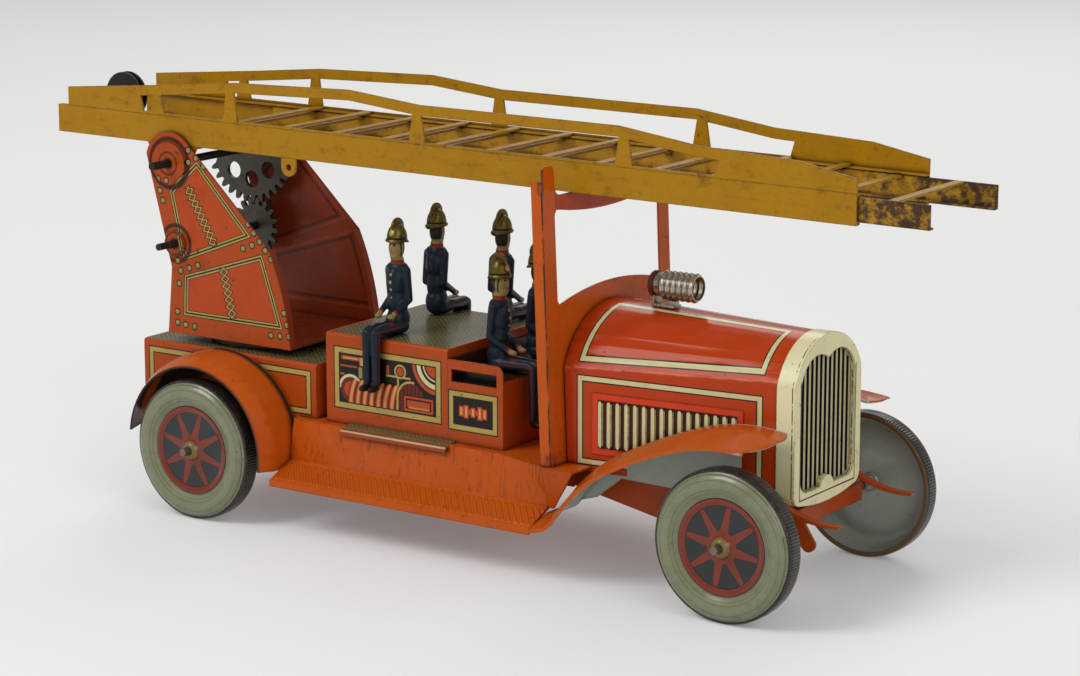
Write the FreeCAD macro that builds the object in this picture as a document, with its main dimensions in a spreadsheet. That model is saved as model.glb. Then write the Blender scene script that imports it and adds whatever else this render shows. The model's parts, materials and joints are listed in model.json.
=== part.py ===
import FreeCAD, Part
import Sketcher
import math
import os

# Tin clockwork fire engine with a turntable ladder. Millimetres, +X forward, +Y to its left, +Z up.
# The origin lies on the floor, below the middle of the ladder's length.

os.makedirs("parts", exist_ok=True)
doc = FreeCAD.newDocument("fire_engine")

SIZES = {
    # sheet and fits
    "sheet": 0.8,
    "seat_gap": 0.3,
    "run_fit": 0.05,
    "thin": 0.5,
    # wheels and axles
    "wheel_radius": 26.0,
    "tread_depth": 1.6,
    "tread_width": 8.6,
    "tread_round": 0.5,
    "rim_ring_radius": 16.6,
    "rim_dome": 1.6,
    "wheel_mid": 48.0,
    "pan_inset": 1.4,
    "hub_radius": 3.6,
    "hub_tip": 2.4,
    "hub_proud": 0.6,
    "axle_radius": 1.5,
    "axle_stub": 3.5,
    "front_axle_at": 127.6,
    "rear_axle_at": -98.4,
    # deck, boards and steps
    "deck_top": 39.3,
    "deck_half": 30.0,
    "deck_rear": -139.0,
    "deck_front": 56.0,
    "deck_flange": 8.5,
    "ledge_half": 34.0,
    "skirt_low_half": 36.5,
    "skirt_low": 24.6,
    "board_half": 48.5,
    "board_edge": 19.4,
    "board_lip": 2.4,
        "board_front": 50.0,
    "step_rear": -41.0,
    "step_front": 6.0,
    "step_reach": 5.6,
    "step_lip": 0.9,
    # rear mudguards
    "guard_rim": 31.0,
    "guard_crown": 34.2,
    "guard_shoulder": 40.0,
    "guard_outer": 50.0,
    "guard_dome": 0.8,
    "guard_flange": 9.0,
    "guard_foot": 8.0,
    "guard_tail": 174.0,
    # front wings
    "wing_bend": 11.0,
    "wing_inner": 27.0,
    "wing_slope": 56.0,
    "wing_mid_slope": 28.0,
    "wing_end_slope": 4.0,
    "wing_wall_slope": 12.0,
    "wing_arc": 64.0,
    "wing_flat_arc": 150.0,
    "wing_crest": 3.2,
    "wing_dome": 1.7,
    "wing_lip": 1.5,
    "wing_wall_low": 36.0,
    "wing_wall_drop": 8.0,
    "wing_wall_start": 14.0,
    "wing_wall_bend": 24.0,
    "wing_round": 13.0,
    "wing_round_inner": 5.0,
    "wing_round_bow": 7.0,
    # boxes and bench
    "box_round": 1.4,
    "rear_box_front": -56.4,
    "rear_box_top": 59.4,
    "seat_box_rear": -51.6,
    "seat_box_front": 2.6,
    "seat_box_top": 72.4,
    "bench_front": 26.4,
    "bench_top_rear": 68.4,
    "bench_top_front": 64.8,
    "bench_round": 3.0,
    "bench_seat": 64.0,
    "slot_drop": 3.4,
    "slot_high": 3.8,
    "slot_inset": 1.6,
    # bonnet and louvres
    "bonnet_front": 131.0,
    "bonnet_low": 37.0,
    "bonnet_rear_half": 26.6,
    "bonnet_front_half": 21.8,
    "crease_rear": 72.6,
    "crease_front": 75.6,
    "crown_rear": 91.6,
    "crown_front": 89.2,
    "arch_chords": 16,
    "louvre_start": 14.5,
    "louvre_low": 46.0,
    "louvre_high": 62.5,
    "louvre_count": 16,
    "louvre_pitch": 3.3,
    "louvre_width": 1.7,
    "louvre_proud": 0.8,
    "louvre_margin": 2.4,
    # radiator
    "radiator_depth": 7.1,
    "radiator_half": 22.4,
    "radiator_low": 31.6,
    "radiator_belly": 2.0,
    "radiator_shoulder": 76.0,
    "radiator_top": 92.4,
    "radiator_band": 4.2,
    "radiator_corner": 4.6,
    "radiator_notch": 4.4,
    "grille_lobe": 5.4,
    "grille_dip": 5.0,
    "grille_inset": 1.8,
    "grille_ribs": 12,
    "grille_pitch": 3.0,
    "grille_groove": 1.5,
    "grille_deep": 0.9,
    # windscreen
    "screen_at": 53.2,
    "screen_rake": 2.3,
    "screen_half": 31.0,
    "screen_flange": 10.4,
    "screen_post": 6.4,
    "screen_sill": 55.6,
    "screen_sill_rise": 4.5,
    "screen_bar": 6.6,
    "screen_saddle": 2.4,
    "lug_width": 5.1,
    "lug_reach": 5.6,
    "lug_depth": 6.6,
    "lug_round": 1.5,
    # lamp socket
    "lamp_rear": 70.5,
    "lamp_gap": 2.4,
    "lamp_radius": 5.15,
    "lamp_wall": 0.5,
    "lamp_pitch": 2.3,
    "lamp_turns": 6,
    "lamp_groove": 0.5,
    "lamp_neck": 2.6,
    "lamp_pin_radius": 1.2,
    "lamp_pin": 2.8,
    "bracket_width": 5.0,
    "bracket_foot": 8.0,
    # frame ends and axle carrier
    "frame_half": 23.0,
    "frame_low_rear": 30.0,
    "frame_low_front": 21.8,
    "frame_deep_at": 91.0,
    "frame_deep_length": 9.0,
    "frame_web": 4.0,
    "frame_rise": 12.0,
    "horn_tip": 157.0,
    "horn_half": 25.2,
    "horn_width": 3.0,
    "horn_drop": 6.0,
    "horn_bow": 2.4,
    "horn_depth": 2.0,
    "horn_root": 20.0,
    "steer_pin_radius": 2.0,
    "carrier_top": 28.8,
    "carrier_half": 38.0,
    "carrier_width": 6.4,
    "carrier_end": 1.2,
    "lever_reach": 8.6,
    "lever_low": 16.6,
    "lever_bow": 1.8,
    "lever_side": 9.0,
    "bearer_half": 20.5,
    "bearer_length": 16.0,
    "bearer_skirt": 3.4,
    "motor_gap": 20.0,
    "motor_length": 54.0,
    "motor_half": 15.0,
    "motor_depth": 20.0,
    # turntable and tower
    "turntable_at": -100.0,
    "turntable_radius": 24.0,
    "turntable_rise": 2.6,
    "turn_pin_radius": 4.0,
    "turn_pin_head": 6.5,
    "tower_half": 27.0,
    "tower_rear": -129.2,
    "tower_front": -70.6,
    "tower_waist": 25.0,
    "tower_waist_in": 2.4,
    "tower_knee": 98.5,
    "tower_knee_at": -80.1,
    "tower_bow": 1.6,
    "tower_apex": 11.6,
    "tower_flange": 3.4,
    "boss_radius": 8.0,
    "boss_low_radius": 4.8,
    "boss_rise": 1.0,
    "pivot_at": -126.7,
    "pivot_height": 126.4,
    "gear_module": 1.25,
    "sector_teeth": 32,
    "pinion_teeth": 16,
    "gear_width": 1.6,
    "gear_side": 19.5,
    "mesh_angle": -85.6,
    "sector_hole": 3.2,
    "arbor_reach": 10.0,
    "arbor_end": 5.0,
    "arbor_end_radius": 1.3,
    "arbor_inside": 1.5,
    # ladders, measured from the pivot
    "droop": 0.38,
    "ladder_half": 25.2,
    "rail_low": 6.8,
    "rail_height": 10.4,
    "rail_flange": 2.6,
    "ladder_back": -57.0,
    "ladder_fore": 287.4,
    "rung_pitch": 22.6,
    "rung_count": 11,
    "rung_first": 29.0,
    "rung_width": 3.6,
    "inner_fore": 313.0,
    "inner_back": 8.0,
    "inner_rung_count": 13,
    "inner_tip": 12.0,
    "rail_play": 0.3,
    "cradle_half": 12.0,
    "cradle_toe": 6.0,
    "cradle_drop": 4.5,
    # railings: stations along the ladder and the rail's height over the side member there
    "crest_tail_at": -51.7,
    "crest_tail": 7.0,
    "crest_b_at": -1.4,
    "crest_b": 11.7,
    "crest_c_at": 30.0,
    "crest_c": 14.9,
    "crest_d_at": 83.0,
    "crest_d": 16.7,
    "crest_e_at": 114.0,
    "crest_e": 13.9,
    "crest_f_at": 197.0,
    "crest_f": 14.0,
    "crest_g_at": 228.0,
    "crest_g": 10.1,
    "crest_h_at": 266.0,
    "crest_h": 8.7,
    "crest_nose": 4.9,
    "handrail_depth": 3.8,
    "gap_foot": 0.9,
    "post_a": -17.4,
    "post_b": -7.2,
    "post_c": 28.0,
    "post_e": 113.0,
    "post_f": 199.0,
    "post_g": 238.0,
    "post_width": 4.0,
    "post_flare": 3.0,
    "eye_at": 55.2,
    "eye_radius": 3.4,
    "eye_bore": 1.2,
    "eye_drop": 3.4,
    "reel_radius": 9.0,
    "reel_core": 4.0,
    "reel_half": 1.8,
    "reel_back": 12.0,
    "reel_high": 18.8,
    "spindle_radius": 1.0,
    "reel_play": 0.3,
    "bracket_half": 2.8,
    "bracket_over": 2.6,
    # seated figures
    "man_back": 5.2,
    "man_chest": 4.8,
    "man_half": 4.2,
    "man_waist": 3.8,
    "man_waist_high": 9.5,
    "man_shoulder": 25.3,
    "man_breast": 19.5,
    "man_neck_high": 27.4,
    "man_nose": 30.8,
    "man_neck": 2.4,
    "man_face": 3.3,
    "helmet_brim": 4.9,
    "helmet_low": 34.3,
    "helmet_radius": 3.9,
    "helmet_high": 40.8,
    "crest_height": 42.0,
    "man_thigh": 5.2,
    "man_reach": 18.2,
    "man_shin": 4.0,
    "man_foot": 19.0,
    "man_shoe": 3.2,
    "man_leg_width": 3.6,
    "man_arm_width": 1.6,
    "man_elbow": 9.8,
    "man_hand_at": 8.6,
    "rear_man_at": -29.0,
    "rear_man_side": 16.8,
    "far_man_at": -36.4,
    "far_man_side": 16.9,
    "mid_man_at": -8.6,
    "mid_man_side": 19.3,
    "front_man_at": 14.5,
    "front_man_side": 15.0,
    "driver_side": 9.0,
}

sheet = doc.addObject("Spreadsheet::Sheet", "Sizes")
for row, (alias, number) in enumerate(SIZES.items(), start=1):
    sheet.set("A%d" % row, alias)
    sheet.set("B%d" % row, str(number))
    sheet.setAlias("B%d" % row, alias)
doc.recompute()


class Dim:
    """A length that carries both its number and the sheet formula that gives it."""

    def __init__(self, text, number):
        self.text = text
        self.number = float(number)

    @staticmethod
    def of(other):
        return other if isinstance(other, Dim) else Dim(repr(float(other)), other)

    def __add__(self, other):
        other = Dim.of(other)
        return Dim("(%s + %s)" % (self.text, other.text), self.number + other.number)

    def __radd__(self, other):
        return Dim.of(other) + self

    def __sub__(self, other):
        other = Dim.of(other)
        return Dim("(%s - %s)" % (self.text, other.text), self.number - other.number)

    def __rsub__(self, other):
        return Dim.of(other) - self

    def __mul__(self, other):
        other = Dim.of(other)
        return Dim("(%s * %s)" % (self.text, other.text), self.number * other.number)

    def __rmul__(self, other):
        return Dim.of(other) * self

    def __truediv__(self, other):
        other = Dim.of(other)
        return Dim("(%s / %s)" % (self.text, other.text), self.number / other.number)

    def __neg__(self):
        return Dim("(0 - %s)" % self.text, -self.number)


def dsin(angle):
    angle = Dim.of(angle)
    return Dim("sin(%s * 1 deg)" % angle.text, math.sin(math.radians(angle.number)))


def dcos(angle):
    angle = Dim.of(angle)
    return Dim("cos(%s * 1 deg)" % angle.text, math.cos(math.radians(angle.number)))


def arcsine(share):
    return Dim("(asin(%s) / 1 deg)" % share.text, math.degrees(math.asin(share.number)))


class Sizes:
    pass


z = Sizes()
for alias, number in SIZES.items():
    setattr(z, alias, Dim("Sizes.%s" % alias, number))


def bind(thing, path, dim):
    thing.setExpression(path, Dim.of(dim).text)


PLANES = {"XY": "XY_Plane", "XZ": "XZ_Plane", "YZ": "YZ_Plane"}


def new_body(label):
    body = doc.addObject("PartDesign::Body", label)
    body.Label = label
    return body


def origin_feature(body, role):
    return [f for f in body.Origin.OriginFeatures if f.Role == role][0]


def draw(sketch, outline, closed=True):
    """Outline of corners (x, y) or (x, y, sag): sag bows the edge that arrives at that corner."""
    corners = [[Dim.of(c[0]), Dim.of(c[1])] + [Dim.of(v) for v in c[2:]] for c in outline]
    ends = {}
    count = len(corners)
    for i, corner in enumerate(corners):
        if i == 0 and not closed:
            continue
        before = (i - 1) % count
        p = corners[before]
        ax, ay, bx, by = p[0].number, p[1].number, corner[0].number, corner[1].number
        if len(corner) == 2:
            edge = sketch.addGeometry(Part.LineSegment(FreeCAD.Vector(ax, ay, 0), FreeCAD.Vector(bx, by, 0)))
            first, last = 1, 2
        else:
            sag = corner[2]
            dx, dy = corner[0] - p[0], corner[1] - p[1]
            size = sag if sag.number > 0 else -sag
            radius = (dx * dx + dy * dy) / (8 * size) + size / 2
            chord = math.hypot(bx - ax, by - ay)
            side = 1.0 if sag.number > 0 else -1.0
            nx, ny = side * (by - ay) / chord, -side * (bx - ax) / chord
            back = size.number - radius.number
            cx, cy = (ax + bx) / 2 + nx * back, (ay + by) / 2 + ny * back
            a0, a1 = math.atan2(ay - cy, ax - cx), math.atan2(by - cy, bx - cx)
            first, last = (1, 2) if side > 0 else (2, 1)
            if side < 0:
                a0, a1 = a1, a0
            circle = Part.Circle(FreeCAD.Vector(cx, cy, 0), FreeCAD.Vector(0, 0, 1), radius.number)
            edge = sketch.addGeometry(Part.ArcOfCircle(circle, a0, a1 if a1 > a0 else a1 + 2 * math.pi))
            spot = sketch.addConstraint(Sketcher.Constraint("Radius", edge, radius.number))
            bind(sketch, "Constraints[%d]" % spot, radius)
        ends.setdefault(before, []).append((edge, first))
        ends.setdefault(i, []).append((edge, last))
    for i, corner in enumerate(corners):
        (edge, point), others = ends[i][0], ends[i][1:]
        for other, spot in others:
            sketch.addConstraint(Sketcher.Constraint("Coincident", edge, point, other, spot))
        for kind, axis, dim in (("DistanceX", -2, corner[0]), ("DistanceY", -1, corner[1])):
            if abs(dim.number) < 1e-9:
                sketch.addConstraint(Sketcher.Constraint("PointOnObject", edge, point, axis))
                continue
            spot = sketch.addConstraint(Sketcher.Constraint(kind, -1, 1, edge, point, dim.number))
            bind(sketch, "Constraints[%d]" % spot, dim)


def new_sketch(body, plane, offset, outlines, name):
    """A sketch on one of the body's own planes, moved by offset along that plane's normal."""
    sketch = body.newObject("Sketcher::SketchObject", body.Name + "_" + name)
    sketch.AttachmentSupport = [(origin_feature(body, PLANES[plane]), "")]
    sketch.MapMode = "FlatFace"
    offset = Dim.of(offset)
    sketch.AttachmentOffset = FreeCAD.Placement(FreeCAD.Vector(0, 0, offset.number), FreeCAD.Rotation())
    bind(sketch, "AttachmentOffset.Base.z", offset)
    for outline in outlines:
        draw(sketch, outline)
    return sketch


def add_slab(body, plane, outlines, low, high, name="profile", cut=False):
    """Pads or pockets outlines between two coordinates along the plane's axis."""
    low, high = Dim.of(low), Dim.of(high)
    if cut:
        offset = -low if plane == "XZ" else high
    else:
        offset = -high if plane == "XZ" else low
    sketch = new_sketch(body, plane, offset, outlines, name)
    kind = "PartDesign::Pocket" if cut else "PartDesign::Pad"
    feature = body.newObject(kind, body.Name + "_" + name + ("_cut" if cut else "_pad"))
    feature.Profile = sketch
    feature.Length = high.number - low.number
    bind(feature, "Length", high - low)
    sketch.Visibility = False
    return feature


def slab(label, plane, outlines, low, high):
    body = new_body(label)
    add_slab(body, plane, outlines, low, high)
    return body


def block(label, x, y, h):
    """A box between pairs of coordinates."""
    thing = doc.addObject("Part::Box", label)
    thing.Label = label
    for path, pair in (("Length", x), ("Width", y), ("Height", h)):
        bind(thing, path, Dim.of(pair[1]) - Dim.of(pair[0]))
    for path, pair in (("x", x), ("y", y), ("z", h)):
        bind(thing, "Placement.Base." + path, pair[0])
    return thing


TURNS = {"X": FreeCAD.Rotation(FreeCAD.Vector(0, 1, 0), 90),
         "Y": FreeCAD.Rotation(FreeCAD.Vector(1, 0, 0), -90),
         "Z": FreeCAD.Rotation()}


def rod(label, axis, spot, radius, length):
    """A cylinder that starts at spot and runs along +axis."""
    thing = doc.addObject("Part::Cylinder", label)
    thing.Label = label
    thing.Placement = FreeCAD.Placement(FreeCAD.Vector(), TURNS[axis])
    bind(thing, "Radius", radius)
    bind(thing, "Height", length)
    for path, dim in zip("xyz", spot):
        bind(thing, "Placement.Base." + path, dim)
    return thing


def lathe(label, outline, spot):
    """A ring turned about Y: outline corners are (radius, y)."""
    body = new_body(label)
    sketch = new_sketch(body, "XY", 0, [outline], "section")
    turn = body.newObject("PartDesign::Revolution", label + "_turn")
    turn.Profile = sketch
    turn.ReferenceAxis = (sketch, ["V_Axis"])
    turn.Angle = 360
    sketch.Visibility = False
    for path, dim in zip("xyz", spot):
        bind(body, "Placement.Base." + path, dim)
    return body


def fuse(label, pieces):
    thing = doc.addObject("Part::MultiFuse", label)
    thing.Label = label
    thing.Shapes = pieces
    return thing


def cut(label, base, tool):
    thing = doc.addObject("Part::Cut", label)
    thing.Label = label
    thing.Base = base
    thing.Tool = tool
    return thing


def group(label, pieces):
    """Solids of one node that don't touch."""
    thing = doc.addObject("Part::Compound", label)
    thing.Label = label
    thing.Links = pieces
    return thing


def mirrored(label, source):
    thing = doc.addObject("Part::Mirroring", label)
    thing.Label = label
    thing.Source = source
    thing.Normal = FreeCAD.Vector(0, 1, 0)
    thing.Base = FreeCAD.Vector(0, 0, 0)
    return thing


def both_sides(label, source):
    return group(label, [source, mirrored(source.Name + "_other", source)])


def at_pivot(thing):
    """Hangs a piece that is drawn from the ladder's pivot on that pivot, with the ladder's small droop."""
    thing.Placement = FreeCAD.Placement(FreeCAD.Vector(), FreeCAD.Rotation(FreeCAD.Vector(0, 1, 0), z.droop.number))
    bind(thing, "Placement.Base.x", z.pivot_at)
    bind(thing, "Placement.Base.z", z.pivot_height)
    bind(thing, "Placement.Rotation.Angle", z.droop)
    return thing


nodes = {}


def keep(thing):
    nodes[thing.Label] = thing
    return thing


t = z.sheet
deck_under = z.deck_top - t
axle_height = z.wheel_radius
QUARTER = 1 - dcos(45)


def bowed(start, end, bow, count=2):
    """Corners after start on the way to end, on a shallow curve that (x, y) bow pushes out at its middle."""
    corners = []
    for i in range(1, count + 1):
        share = i / count
        lift = 4 * share * (1 - share)
        corners.append(tuple(Dim.of(a) + (Dim.of(b) - a) * share + Dim.of(c) * lift for a, b, c in zip(start, end, bow)))
    return corners


def repeat(body, feature, sketch, direction, count, pitch):
    """Copies a feature in a row along one of its sketch's axes."""
    row = body.newObject("PartDesign::LinearPattern", feature.Name + "_row")
    row.Originals = [feature]
    row.Direction = (sketch, [direction])
    row.Length = pitch.number * (count.number - 1)
    row.Occurrences = int(count.number)
    bind(row, "Length", pitch * (count - 1))
    bind(row, "Occurrences", count)
    body.Tip = row
    return row


def turned(body, plane, outline, axis, name):
    """A revolution of one outline about a sketch axis."""
    sketch = new_sketch(body, plane, 0, [outline], name)
    turn = body.newObject("PartDesign::Revolution", body.Name + "_" + name + "_turn")
    turn.Profile = sketch
    turn.ReferenceAxis = (sketch, [axis])
    turn.Angle = 360
    sketch.Visibility = False
    return turn


# Deck: a shallow channel that carries everything.
channel = [(-z.deck_half, z.deck_top - z.deck_flange), (t - z.deck_half, z.deck_top - z.deck_flange),
           (t - z.deck_half, deck_under), (z.deck_half - t, deck_under),
           (z.deck_half - t, z.deck_top - z.deck_flange), (z.deck_half, z.deck_top - z.deck_flange),
           (z.deck_half, z.deck_top), (-z.deck_half, z.deck_top)]
keep(slab("chassis_deck", "YZ", [channel], z.deck_rear, z.deck_front))

# Running boards: ledge, leaning skirt, sloping tread and turned-down lip, pressed from one strip.
board = [(-z.deck_half, deck_under), (-z.deck_half, z.deck_top), (-z.ledge_half, z.deck_top),
         (-z.skirt_low_half, z.skirt_low), (-z.board_half, z.board_edge),
         (-z.board_half, z.board_edge - z.board_lip), (t - z.board_half, z.board_edge - z.board_lip),
         (t - z.board_half, z.board_edge - t), (t - z.skirt_low_half, z.skirt_low - t),
         (t - z.ledge_half, deck_under)]
board_rear = z.rear_axle_at + z.guard_crown + z.seat_gap
keep(both_sides("running_boards", slab("running_board_half", "YZ", [board], board_rear, z.board_front)))

# Step plates on the ledges, each with a turned-down edge.
step_edge = -z.deck_half - z.step_reach
step = [(step_edge, z.deck_top - z.step_lip), (step_edge + t, z.deck_top - z.step_lip), (step_edge + t, z.deck_top),
        (-z.deck_half, z.deck_top), (-z.deck_half, z.deck_top + t), (step_edge, z.deck_top + t)]
keep(both_sides("step_plates", slab("step_half", "YZ", [step], z.step_rear, z.step_front)))

# Rear mudguards: a domed band turned about the rear axle, with a flange on the box side.
guard = new_body("rear_guard_half")
crown = z.guard_crown
rim_corner = (z.guard_rim, -z.guard_outer)
section = [(z.guard_rim - t, -z.guard_outer), rim_corner] + bowed(rim_corner, (crown, -z.guard_shoulder), (z.guard_dome, 0))
section += [(crown, -z.deck_half), (crown - z.guard_flange, -z.deck_half), (crown - z.guard_flange, -z.deck_half - t),
            (crown - t, -z.deck_half - t), (crown - t, -z.guard_shoulder)]
guard_turn = turned(guard, "XY", section, "V_Axis", "section")
guard_turn.Reversed = True
bind(guard_turn, "Angle", z.guard_tail + z.guard_foot)
guard.Placement = FreeCAD.Placement(FreeCAD.Vector(), FreeCAD.Rotation(FreeCAD.Vector(0, 1, 0), 1))
bind(guard, "Placement.Rotation.Angle", z.guard_foot)
bind(guard, "Placement.Base.x", z.rear_axle_at)
bind(guard, "Placement.Base.z", axle_height)
keep(both_sides("rear_mudguards", guard))


def wing_points(lift, last_slope):
    """Corners of the front wing's long curve, lifted square to it, with each arc's bow."""
    slopes = [Dim.of(0), z.wing_slope, z.wing_mid_slope, last_slope]
    radii = [z.wing_bend - lift, z.wing_arc + lift, z.wing_flat_arc + lift]
    x, h = z.board_front + 0, z.board_edge + lift
    points = [(x, h)]
    for i in range(3):
        a, b, radius = slopes[i], slopes[i + 1], radii[i]
        if i == 0:
            x = x + radius * (dsin(b) - dsin(a))
            h = h + radius * (dcos(a) - dcos(b))
            bow = radius * (1 - dcos((b - a) / 2))
        else:
            x = x + radius * (dsin(a) - dsin(b))
            h = h + radius * (dcos(b) - dcos(a))
            bow = -(radius * (1 - dcos((a - b) / 2)))
        points.append((x, h, bow))
    return points


# Front wings: a domed section swept along the curve, an inner wall below it and a tip rounded in plan.
wing = new_body("front_wing_half")
edge, rise = -z.board_half, z.board_edge
fold, ridge = (edge + t, rise - t / 2), (-z.wing_inner, rise + z.wing_crest)
wing_section = [(edge, rise - z.wing_lip), (edge + t, rise - z.wing_lip), fold]
wing_section += bowed(fold, (ridge[0], ridge[1] - t), (0, z.wing_dome)) + [ridge] + bowed(ridge, (edge, rise), (0, z.wing_dome))
wing_profile = new_sketch(wing, "YZ", z.board_front, [wing_section], "section")
curve = wing_points(Dim.of(0), z.wing_end_slope)
spine = new_sketch(wing, "XZ", 0, [], "spine")
draw(spine, curve, closed=False)
sweep = wing.newObject("PartDesign::AdditivePipe", "front_wing_sweep")
sweep.Profile = wing_profile
sweep.Spine = (spine, [])
sweep.Mode = "Frenet"
top_line = wing_points(z.wing_crest - t / 2, z.wing_wall_slope)
wall = [(z.board_front + z.wing_wall_start, z.wing_wall_low - z.wing_wall_drop),
        (z.board_front + z.wing_wall_bend, z.wing_wall_low), (top_line[3][0], z.wing_wall_low),
        (top_line[3][0], top_line[3][1]), (top_line[2][0], top_line[2][1], -top_line[3][2]),
        (top_line[1][0], top_line[1][1], -top_line[2][2])]
add_slab(wing, "XZ", [wall], -z.wing_inner - t, -z.wing_inner, "wall")
tip = curve[3][0]
round_off = [(tip + z.wing_round, edge - 1), (tip + z.wing_round, 1 - z.wing_inner),
             (tip - z.wing_round_inner, 1 - z.wing_inner), (tip - z.wing_round, edge - 1, -z.wing_round_bow)]
add_slab(wing, "XY", [round_off], z.wing_wall_low, z.crown_rear, "tip", True)
keep(both_sides("front_wings", wing))


# Boxes on the deck: open below, with rolled top edges.
def pressed_box(label, x, half, h):
    r = z.box_round
    bow = r * QUARTER
    outer = [(-half, h[0]), (half, h[0]), (half, h[1] - r), (half - r, h[1], bow), (r - half, h[1]),
             (-half, h[1] - r, bow)]
    inner = [(t - half, h[0] - 1), (half - t, h[0] - 1), (half - t, h[1] - r), (half - r, h[1] - t, bow / 2),
             (r - half, h[1] - t), (t - half, h[1] - r, bow / 2)]
    box = new_body(label)
    add_slab(box, "YZ", [outer], x[0], x[1], "outer")
    add_slab(box, "YZ", [inner], x[0] + t, x[1] - t, "inner", True)
    return box


keep(pressed_box("rear_box", (z.deck_rear, z.rear_box_front), z.deck_half, (z.deck_top, z.rear_box_top)))
keep(pressed_box("seat_box", (z.seat_box_rear, z.seat_box_front), z.deck_half, (z.deck_top, z.seat_box_top)))

# Driver's bench: sloping sides that stand above the seat plate, each with a long slot.
r = z.bench_round
side_profile = [(z.seat_box_front, z.deck_top), (z.bench_front, z.deck_top), (z.bench_front, z.bench_top_front - r),
                (z.bench_front - r, z.bench_top_front, r * QUARTER), (z.seat_box_front, z.bench_top_rear)]
inner_half = z.deck_half - t
bench = new_body("driver_bench")
add_slab(bench, "XZ", [side_profile], -z.deck_half, z.deck_half, "block")
above = [(z.seat_box_front - 1, z.bench_seat), (z.bench_front + 1, z.bench_seat),
         (z.bench_front + 1, z.seat_box_top), (z.seat_box_front - 1, z.seat_box_top)]
add_slab(bench, "XZ", [above], -inner_half, inner_half, "above", True)
below = [(z.seat_box_front + t, z.deck_top - 1), (z.bench_front - t, z.deck_top - 1),
         (z.bench_front - t, z.bench_seat - t), (z.seat_box_front + t, z.bench_seat - t)]
add_slab(bench, "XZ", [below], -inner_half, inner_half, "below", True)
fall = (z.bench_top_rear - z.bench_top_front) / (z.bench_front - z.bench_round - z.seat_box_front)
slot_rear = z.seat_box_front + z.slot_inset
slot_end = z.bench_front - z.slot_inset * 2
slot_line = z.bench_top_rear - z.slot_drop
slot = [(slot_rear, slot_line - fall * z.slot_inset - z.slot_high),
        (slot_end, slot_line - fall * (slot_end - z.seat_box_front) - z.slot_high),
        (slot_end, slot_line - fall * (slot_end - z.seat_box_front), z.slot_high / 3),
        (slot_rear, slot_line - fall * z.slot_inset)]
add_slab(bench, "XZ", [slot], -z.deck_half - 1, -inner_half + t / 2, "slot_right", True)
add_slab(bench, "XZ", [slot], inner_half - t / 2, z.deck_half + 1, "slot_left", True)
keep(bench)


def screen_x(h):
    """Where the leaning windscreen's front face stands at a height."""
    return z.screen_at - (h - z.deck_top) * dsin(z.screen_rake) / dcos(z.screen_rake)


# Bonnet: a tapering arched shell whose rear edge leans with the windscreen.
def arch(half, low, crease, top):
    """Outline of a hood: straight sides to a crease, then one arc over the crown in equal short chords."""
    rise = top - crease
    radius = (half * half + rise * rise) / (rise * 2)
    spread = arcsine(half / radius)
    chords = int(z.arch_chords.number)
    turns = [spread * (1 - 2 * i / chords) for i in range(chords + 1)]
    return [(-half, low), (half, low)] + [(radius * dsin(a), top - radius + radius * dcos(a)) for a in turns]


def lofted(body, kind, name, sections):
    sketches = [new_sketch(body, "YZ", x, [outline], name + "_%d" % i) for i, (x, outline) in enumerate(sections)]
    loft = body.newObject("PartDesign::" + kind, body.Name + "_" + name)
    loft.Profile = sketches[0]
    loft.Sections = sketches[1:]
    loft.Ruled = True
    return loft


bonnet = new_body("bonnet")
bonnet_start = screen_x(z.crown_rear)
lofted(bonnet, "AdditiveLoft", "outer", [
    (bonnet_start, arch(z.bonnet_rear_half, z.bonnet_low, z.crease_rear, z.crown_rear)),
    (z.bonnet_front, arch(z.bonnet_front_half, z.bonnet_low, z.crease_front, z.crown_front))])
lofted(bonnet, "SubtractiveLoft", "hollow", [
    (bonnet_start - 0.01, arch(z.bonnet_rear_half - t, z.bonnet_low - 1, z.crease_rear, z.crown_rear - t)),
    (z.bonnet_front + 0.01, arch(z.bonnet_front_half - t, z.bonnet_low - 1, z.crease_front, z.crown_front - t))])
behind = bonnet_start - 1
lean = [(behind, z.deck_top), (screen_x(z.deck_top) + z.seat_gap, z.deck_top),
        (screen_x(z.crown_rear + 1) + z.seat_gap, z.crown_rear + 1), (behind, z.crown_rear + 1)]
add_slab(bonnet, "XZ", [lean], -z.screen_half, z.screen_half, "lean", True)
over_deck = [(behind, z.bonnet_low - 1), (z.deck_front + z.seat_gap, z.bonnet_low - 1),
             (z.deck_front + z.seat_gap, z.deck_top + z.seat_gap), (behind, z.deck_top + z.seat_gap)]
add_slab(bonnet, "XZ", [over_deck], -z.screen_half, z.screen_half, "over_deck", True)
keep(bonnet)

# Louvres: a row of upright slats on a raised panel, laid on the bonnet's tapering side.
taper = (z.bonnet_rear_half - z.bonnet_front_half) / (z.bonnet_front - bonnet_start)
louvres = new_body("louvre_half")
margin = z.louvre_margin
row_length = z.louvre_pitch * (z.louvre_count - 1) + z.louvre_width
panel = [(z.louvre_start - margin, -z.thin), (z.louvre_start + row_length + margin, -z.thin),
         (z.louvre_start + row_length + margin, 0), (z.louvre_start - margin, 0)]
add_slab(louvres, "XY", [panel], z.louvre_low - margin, z.louvre_high + margin, "panel")
slat = [(z.louvre_start, -z.thin), (z.louvre_start + z.louvre_width, -z.thin - z.louvre_proud),
        (z.louvre_start + z.louvre_width, -z.thin / 2), (z.louvre_start, -z.thin / 2)]
slat_pad = add_slab(louvres, "XY", [slat], z.louvre_low, z.louvre_high, "slat")
repeat(louvres, slat_pad, slat_pad.Profile[0], "H_Axis", z.louvre_count, z.louvre_pitch)
louvres.Placement = FreeCAD.Placement(FreeCAD.Vector(), FreeCAD.Rotation(FreeCAD.Vector(0, 0, 1), 3))
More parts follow.
